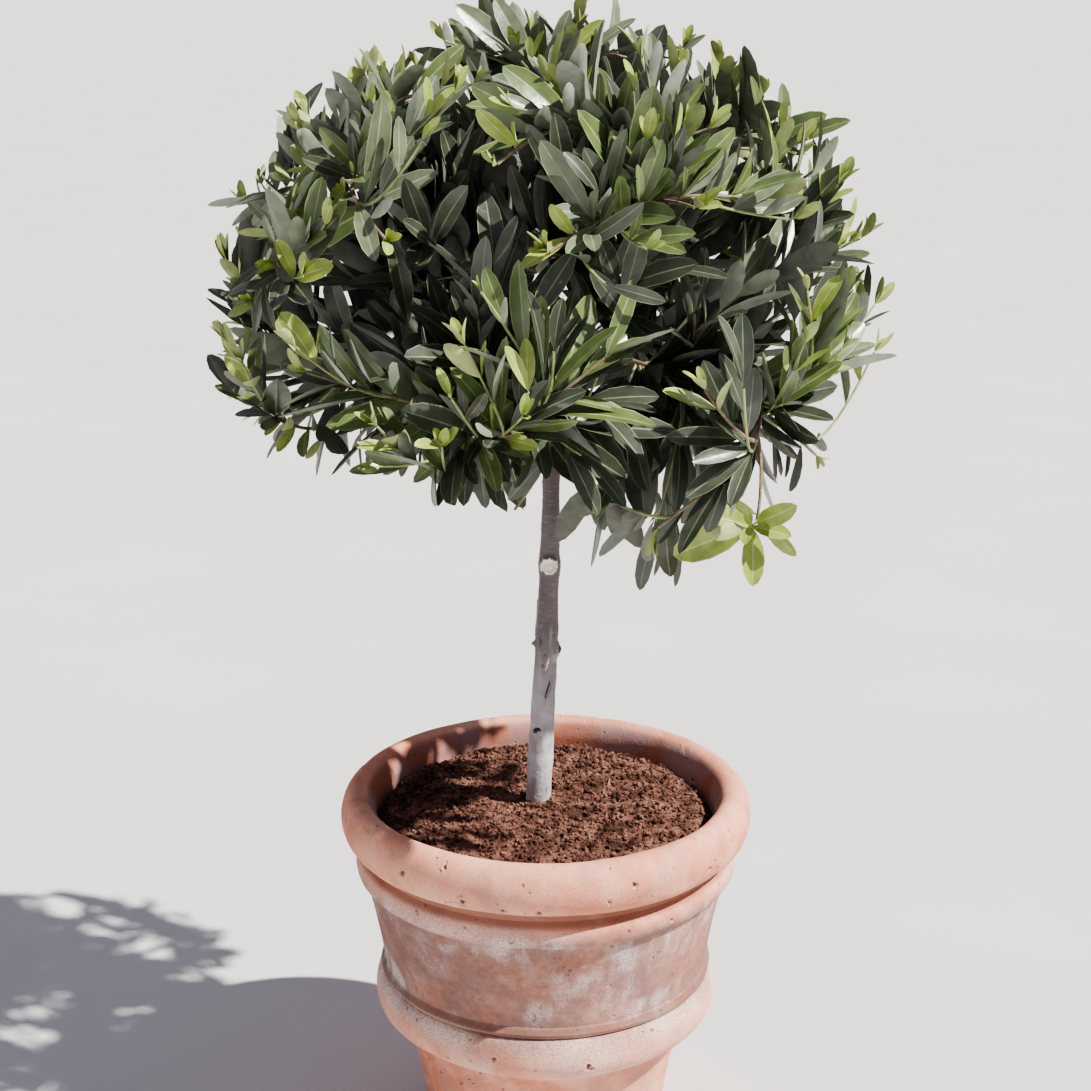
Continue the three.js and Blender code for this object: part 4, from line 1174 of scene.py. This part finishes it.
def leaf_line(leaf, shares):
    """Points along a leaf's bent midrib."""
    bend = leaf["bend"]
    forward = np.sin(bend * shares) / bend
    down = (1 - np.cos(bend * shares)) / bend
    length = leaf["length"]
    return leaf["root"] + length * (forward[:, None] * leaf["pointing"] - down[:, None] * leaf["upper"])


def leaf_at(node, half, attempt, dice):
    """One leaf of a pair. Its upper side turns up, and low in the crown it hangs."""
    along, out = node["along"], node["out"]
    sideways = np.cross(along, UP)
    sideways = unit(sideways) if np.linalg.norm(sideways) > 0.1 else np.array((1.0, 0, 0))
    turn = node["turn"] + half * math.pi + attempt * dice.within(*RETRY_TURN)
    angle = node["fold"] * math.radians(dice.within(*LEAF_ANGLE))
    pointing = along * math.cos(angle) + turned_about(sideways, along, turn) * math.sin(angle)
    pointing = pointing + UP * node["lift"] * dice.within(*LEAF_LIFT_SPREAD)
    pointing = unit(pointing + LEAF_OUTWARDS * out)
    face = unit(along + LEAF_FACES_UP * UP + LEAF_FACES_OUT * out)
    side = np.cross(face, pointing)
    side = unit(side) if np.linalg.norm(side) > 0.05 else unit(np.cross(out, pointing))
    roll = dice.within(-LEAF_ROLL, LEAF_ROLL)
    if dice.next() < LEAF_TURNED_OVER:
        roll += dice.within(*TURNED_OVER_BY)
    side = turned_about(side, pointing, roll)
    length = dice.within(*LEAF_LENGTH) * node["growth"] * (1 - RETRY_SHORTER * attempt)
    length *= LOW_LEAF_GROWTH if out[2] < LOW else 1
    shares = YOUNG_WIDTH_SHARE if node["kind"] == "young" else LEAF_WIDTH_SHARE
    return {
        "root": node["point"],
        "pointing": pointing,
        "side": side,
        "upper": np.cross(pointing, side),
        "length": length,
        "half_width": 0.5 * length * dice.within(*shares),
        "bend": dice.within(*LEAF_BEND),
        "kind": KIND_NAMES.index(node["kind"]),
    }


def leaf_nodes(twig, dice):
    """Places for pairs along a twig: full leaves first, and at a fresh tip small young ones."""
    out = unit(twig.tip - CROWN_MIDDLE)
    fresh = dice.next() < (FRESH_SHARE if out[2] > LOWEST_FRESH else LOW_FRESH_SHARE)
    inside = np.linalg.norm(twig.tip - CROWN_MIDDLE) < INSIDE * reach(out)
    roll = dice.next() + GREYER_ABOVE * out[2]
    # Leaves inside the crown, and more of those low in it, get the dark deep green: partly their own tone,
    # partly painted shade.
    spray = "deep" if roll < DEEP_SHARE or inside else ("green" if roll < GREEN_SHARE else "grey")
    fresh = fresh and not inside
    pairs = max(1, round((1 - FIRST_NODE) * twig.length / LEAF_NODE_SPACING))
    first_turn = dice.within(0, math.pi)
    nodes = []
    for pair in range(pairs + 1):
        share = FIRST_NODE + (1 - FIRST_NODE) * pair / pairs
        to_tip = (1 - share) * twig.length
        growth = 1 - END_PAIR_SMALLER * (pair == pairs)
        if fresh:
            growth = TIP_GROWTH + (1 - TIP_GROWTH) * min(1, to_tip / FULLY_GROWN_AFTER)
        young = fresh and to_tip < YOUNG_STRETCH
        nodes.append((share, growth, "young" if young else spray, END_PAIR_FOLD if pair == pairs else 1.0))
    if fresh:
        nodes += [(1.0, growth, "young", fold) for growth, fold in TIP_PAIRS]
    if twig is young_spray:
        nodes = [
            (1 - back / twig.length, growth, "young", fold)
            for back, growth, fold in YOUNG_SPRAY_PAIRS if back < twig.length
        ]
    for i, (share, growth, kind, fold) in enumerate(nodes):
        out = unit(twig.at(share) - CROWN_MIDDLE)
        yield {
            "twig": twig,
            "share": share,
            "point": twig.at(share),
            "along": twig.along(share),
            "turn": first_turn + i * math.pi / 2,
            "out": out,
            "lift": 0 if twig is young_spray else np.interp(out[2], *LEAF_LIFTS),
            "gap": LOW_LEAF_GAP if out[2] < LOW and twig is not young_spray else LEAF_GAP,
            "growth": growth,
            "kind": kind,
            "fold": fold,
        }


def leaf_reach(towards):
    """How far leaves reach: drawn in here and there, so that the outline is ragged."""
    waves = np.array([noise.noise(Vector(each) * RAGGED_SCALE) for each in towards])
    drawn_in = RAGGED_DEPTH * np.clip(0.5 + waves, 0, 1) - RAGGED_PROUD
    azimuths = np.degrees(np.arctan2(towards[:, 1], towards[:, 0]))
    elevations = np.degrees(np.arcsin(np.clip(towards[:, 2], -1, 1)))
    for azimuth, elevation, wide, tall, depth in HOLLOWS:
        turn = (azimuths - azimuth + 180) % 360 - 180
        drawn_in += depth * np.exp(-((turn / wide) ** 2) - ((elevations - elevation) / tall) ** 2)
    return reach(towards) * (1 - drawn_in)


class TakenPlaces:
    """The places along the midribs of all leaves so far."""

    def __init__(self):
        self.places = np.empty((MOST_PLACES, 3))
        self.count = 0

    def is_free(self, line, gap):
        offsets = self.places[:self.count, None] - line
        return bool(((offsets ** 2).sum(2) >= gap ** 2).all())

    def add(self, line):
        self.places[self.count:self.count + len(line)] = line
        self.count += len(line)


def grow_leaves(mass, dice, taken):
    """Leaves from the outermost pair inwards. One that would leave the reach is tried elsewhere."""
    nodes = [node for twig in mass["twigs"] + mass["shoots"] for node in leaf_nodes(twig, dice)]
    nodes.sort(key=lambda node: -np.linalg.norm(node["point"] - CROWN_MIDDLE))
    nodes.sort(key=lambda node: node["twig"] is not young_spray)
    leaves = []
    for node in nodes:
        for half in (0, 1):
            for attempt in range(LEAF_TRIES):
                leaf = leaf_at(node, half, attempt, dice)
                line = leaf_line(leaf, LEAF_CHECKED_AT)
                limit = reach if node["twig"] is young_spray else leaf_reach
                if not fits(line, mass, BORDER_OVERLAP, limit):
                    continue
                if taken.is_free(line, node["gap"] if node["growth"] > BUD_GROWTH else BUD_GAP):
                    leaves.append({**leaf, "twig": node["twig"], "share": node["share"]})
                    taken.add(line)
                    break
    return leaves


def without_bare_shoots(mass, leaves):
    """The leaves but those past a long bare stretch of a fine shoot, or on one with only a few."""
    kept = [leaf for leaf in leaves if leaf["twig"] in mass["twigs"]]
    for shoot in mass["shoots"]:
        own = [leaf for leaf in leaves if leaf["twig"] is shoot]
        for share in sorted(leaf["share"] for leaf in own):
            if (share - shoot.last_leaf) * shoot.length > BARE_STRETCH:
                break
            shoot.last_leaf = share
        own = [leaf for leaf in own if leaf["share"] <= shoot.last_leaf]
        if len(own) < FEWEST_LEAVES:
            shoot.last_leaf = 0
        else:
            kept += own
    return kept


def leaf_mesh(name, leaves, blade, parts):
    """All the leaves of a mass as one mesh: the blade bent along each leaf's own line."""
    shape, _ = places_of(blade)
    keys = ("root", "pointing", "side", "upper", "length", "half_width", "bend", "kind")
    column = {key: np.array([leaf[key] for leaf in leaves]) for key in keys}
    bend = column["bend"][:, None]
    angle = bend * shape[None, :, 0]
    length = column["length"][:, None]
    half_width = column["half_width"][:, None]
    lift = shape[None, :, 2] * half_width
    forward = length * np.sin(angle) / bend + lift * np.sin(angle)
    up = -length * (1 - np.cos(angle)) / bend + lift * np.cos(angle)
    across = shape[None, :, 1] * half_width
    corners = column["root"][:, None, :] + sum(
        amount[..., None] * column[key][:, None, :]
        for amount, key in ((forward, "pointing"), (across, "side"), (up, "upper"))
    )
    return joined_copies(name, blade, corners, (3 * column["kind"][:, None] + parts[None]).ravel())


def leaf_skin(name, colour, roughness):
    """A waxy leaf surface: a plain colour, a shade darker in blotches, with fine soft relief."""
    skin = Finish(name, roughness, LEAF_SPECULAR)
    darker = tuple(BLOTCH_SHADE * part for part in colour)
    skin.colour(skin.mixed(skin.patches(110, 3, 0.35, 0.65), darker, colour))
    skin.bumps((skin.noise(260, 3), 0.25, 0.0006))
    return skin.material


leaf_skins = []
for kind, (upper, midrib, under, roughness) in LEAF_KINDS.items():
    leaf_skins.append(leaf_skin(kind + "_leaf_upper", upper, roughness))
    leaf_skins.append(leaf_skin(kind + "_leaf_midrib", midrib, 0.5))
    leaf_skins.append(leaf_skin(kind + "_leaf_under", under, 0.7))

blade = leaf_blade()
parts = blade_parts(blade)
taken_places = TakenPlaces()
for mass in masses:
    leaves = without_bare_shoots(mass, grow_leaves(mass, mass["dice"], taken_places))
    piece = leaf_mesh("leaves_" + mass["name"], leaves, blade, parts)
    for skin in leaf_skins:
        piece.data.materials.append(skin)
    handed_over(piece, "leaves_" + mass["name"], ["foliage_" + mass["name"]])
bpy.data.objects.remove(blade)

# The fine shoots end at their last leaf
leafy = [twig.cut_at(twig.last_leaf) for mass in masses for twig in mass["shoots"] if twig.last_leaf > 0]
shoots = tubes("shoots", leafy, 6, 7)
shoots.data.materials.append(young_bark("shoot_bark", (0.27, 0.3, 0.12), (0.38, 0.42, 0.2)))
handed_over(shoots, "green_shoots", [])

# The floor
# A plain pale matt floor, flat under the pot. It rises a little far away, past the horizon.
FLOOR_FLAT, FLOOR_REACH, FLOOR_RISE = 60, 2000, 60
floor = turned([(0, 0), (FLOOR_FLAT, 0), (FLOOR_REACH, FLOOR_RISE)], 96)
floor.name = "floor"
matt = Finish("pale_floor", 0.9, 0.2)
matt.colour(matt.mixed(matt.patches(3, 3, 0.3, 0.7), (0.6, 0.6, 0.59), (0.64, 0.64, 0.63)))
floor.data.materials.append(matt.material)

# The light
# A high key from the right front, as the sun stood, and a soft pale surround that fills the shade.
KEY_DIRECTION = Vector(direction(-17, 50))
KEY_STRENGTH, KEY_ANGLE, KEY_COLOUR = 8.6, 1.0, (1.0, 0.97, 0.92)
FILL_STRENGTH, FILL_COLOUR = 0.4, (0.85, 0.83, 1.0, 1)
bpy.ops.object.light_add(type="SUN", location=2 * KEY_DIRECTION)
key = bpy.context.object
key.rotation_euler = KEY_DIRECTION.to_track_quat("Z", "Y").to_euler()
key.data.energy = KEY_STRENGTH
key.data.angle = math.radians(KEY_ANGLE)
key.data.color = KEY_COLOUR
world = bpy.data.worlds.new("studio")
world.use_nodes = True
world.node_tree.nodes["Background"].inputs["Color"].default_value = FILL_COLOUR
world.node_tree.nodes["Background"].inputs["Strength"].default_value = FILL_STRENGTH
bpy.context.scene.world = world
bpy.context.scene.view_settings.look = "AgX - Medium High Contrast"

# The camera
# It stands in front and a little above the crown, looking down, as the photograph was taken.
IMAGE_SIDE = 1091
FOCAL_PIXELS = 1900
SENSOR_WIDTH = 36
CAMERA_PLACE, CAMERA_PITCH = (0, -1.076, 0.6895), 16.02
bpy.ops.object.camera_add(location=CAMERA_PLACE, rotation=(math.radians(90 - CAMERA_PITCH), 0, 0))
camera = bpy.context.object
camera.data.sensor_width = SENSOR_WIDTH
camera.data.lens = SENSOR_WIDTH * FOCAL_PIXELS / IMAGE_SIDE
camera.data.clip_end = 2 * FLOOR_REACH
bpy.context.scene.camera = camera
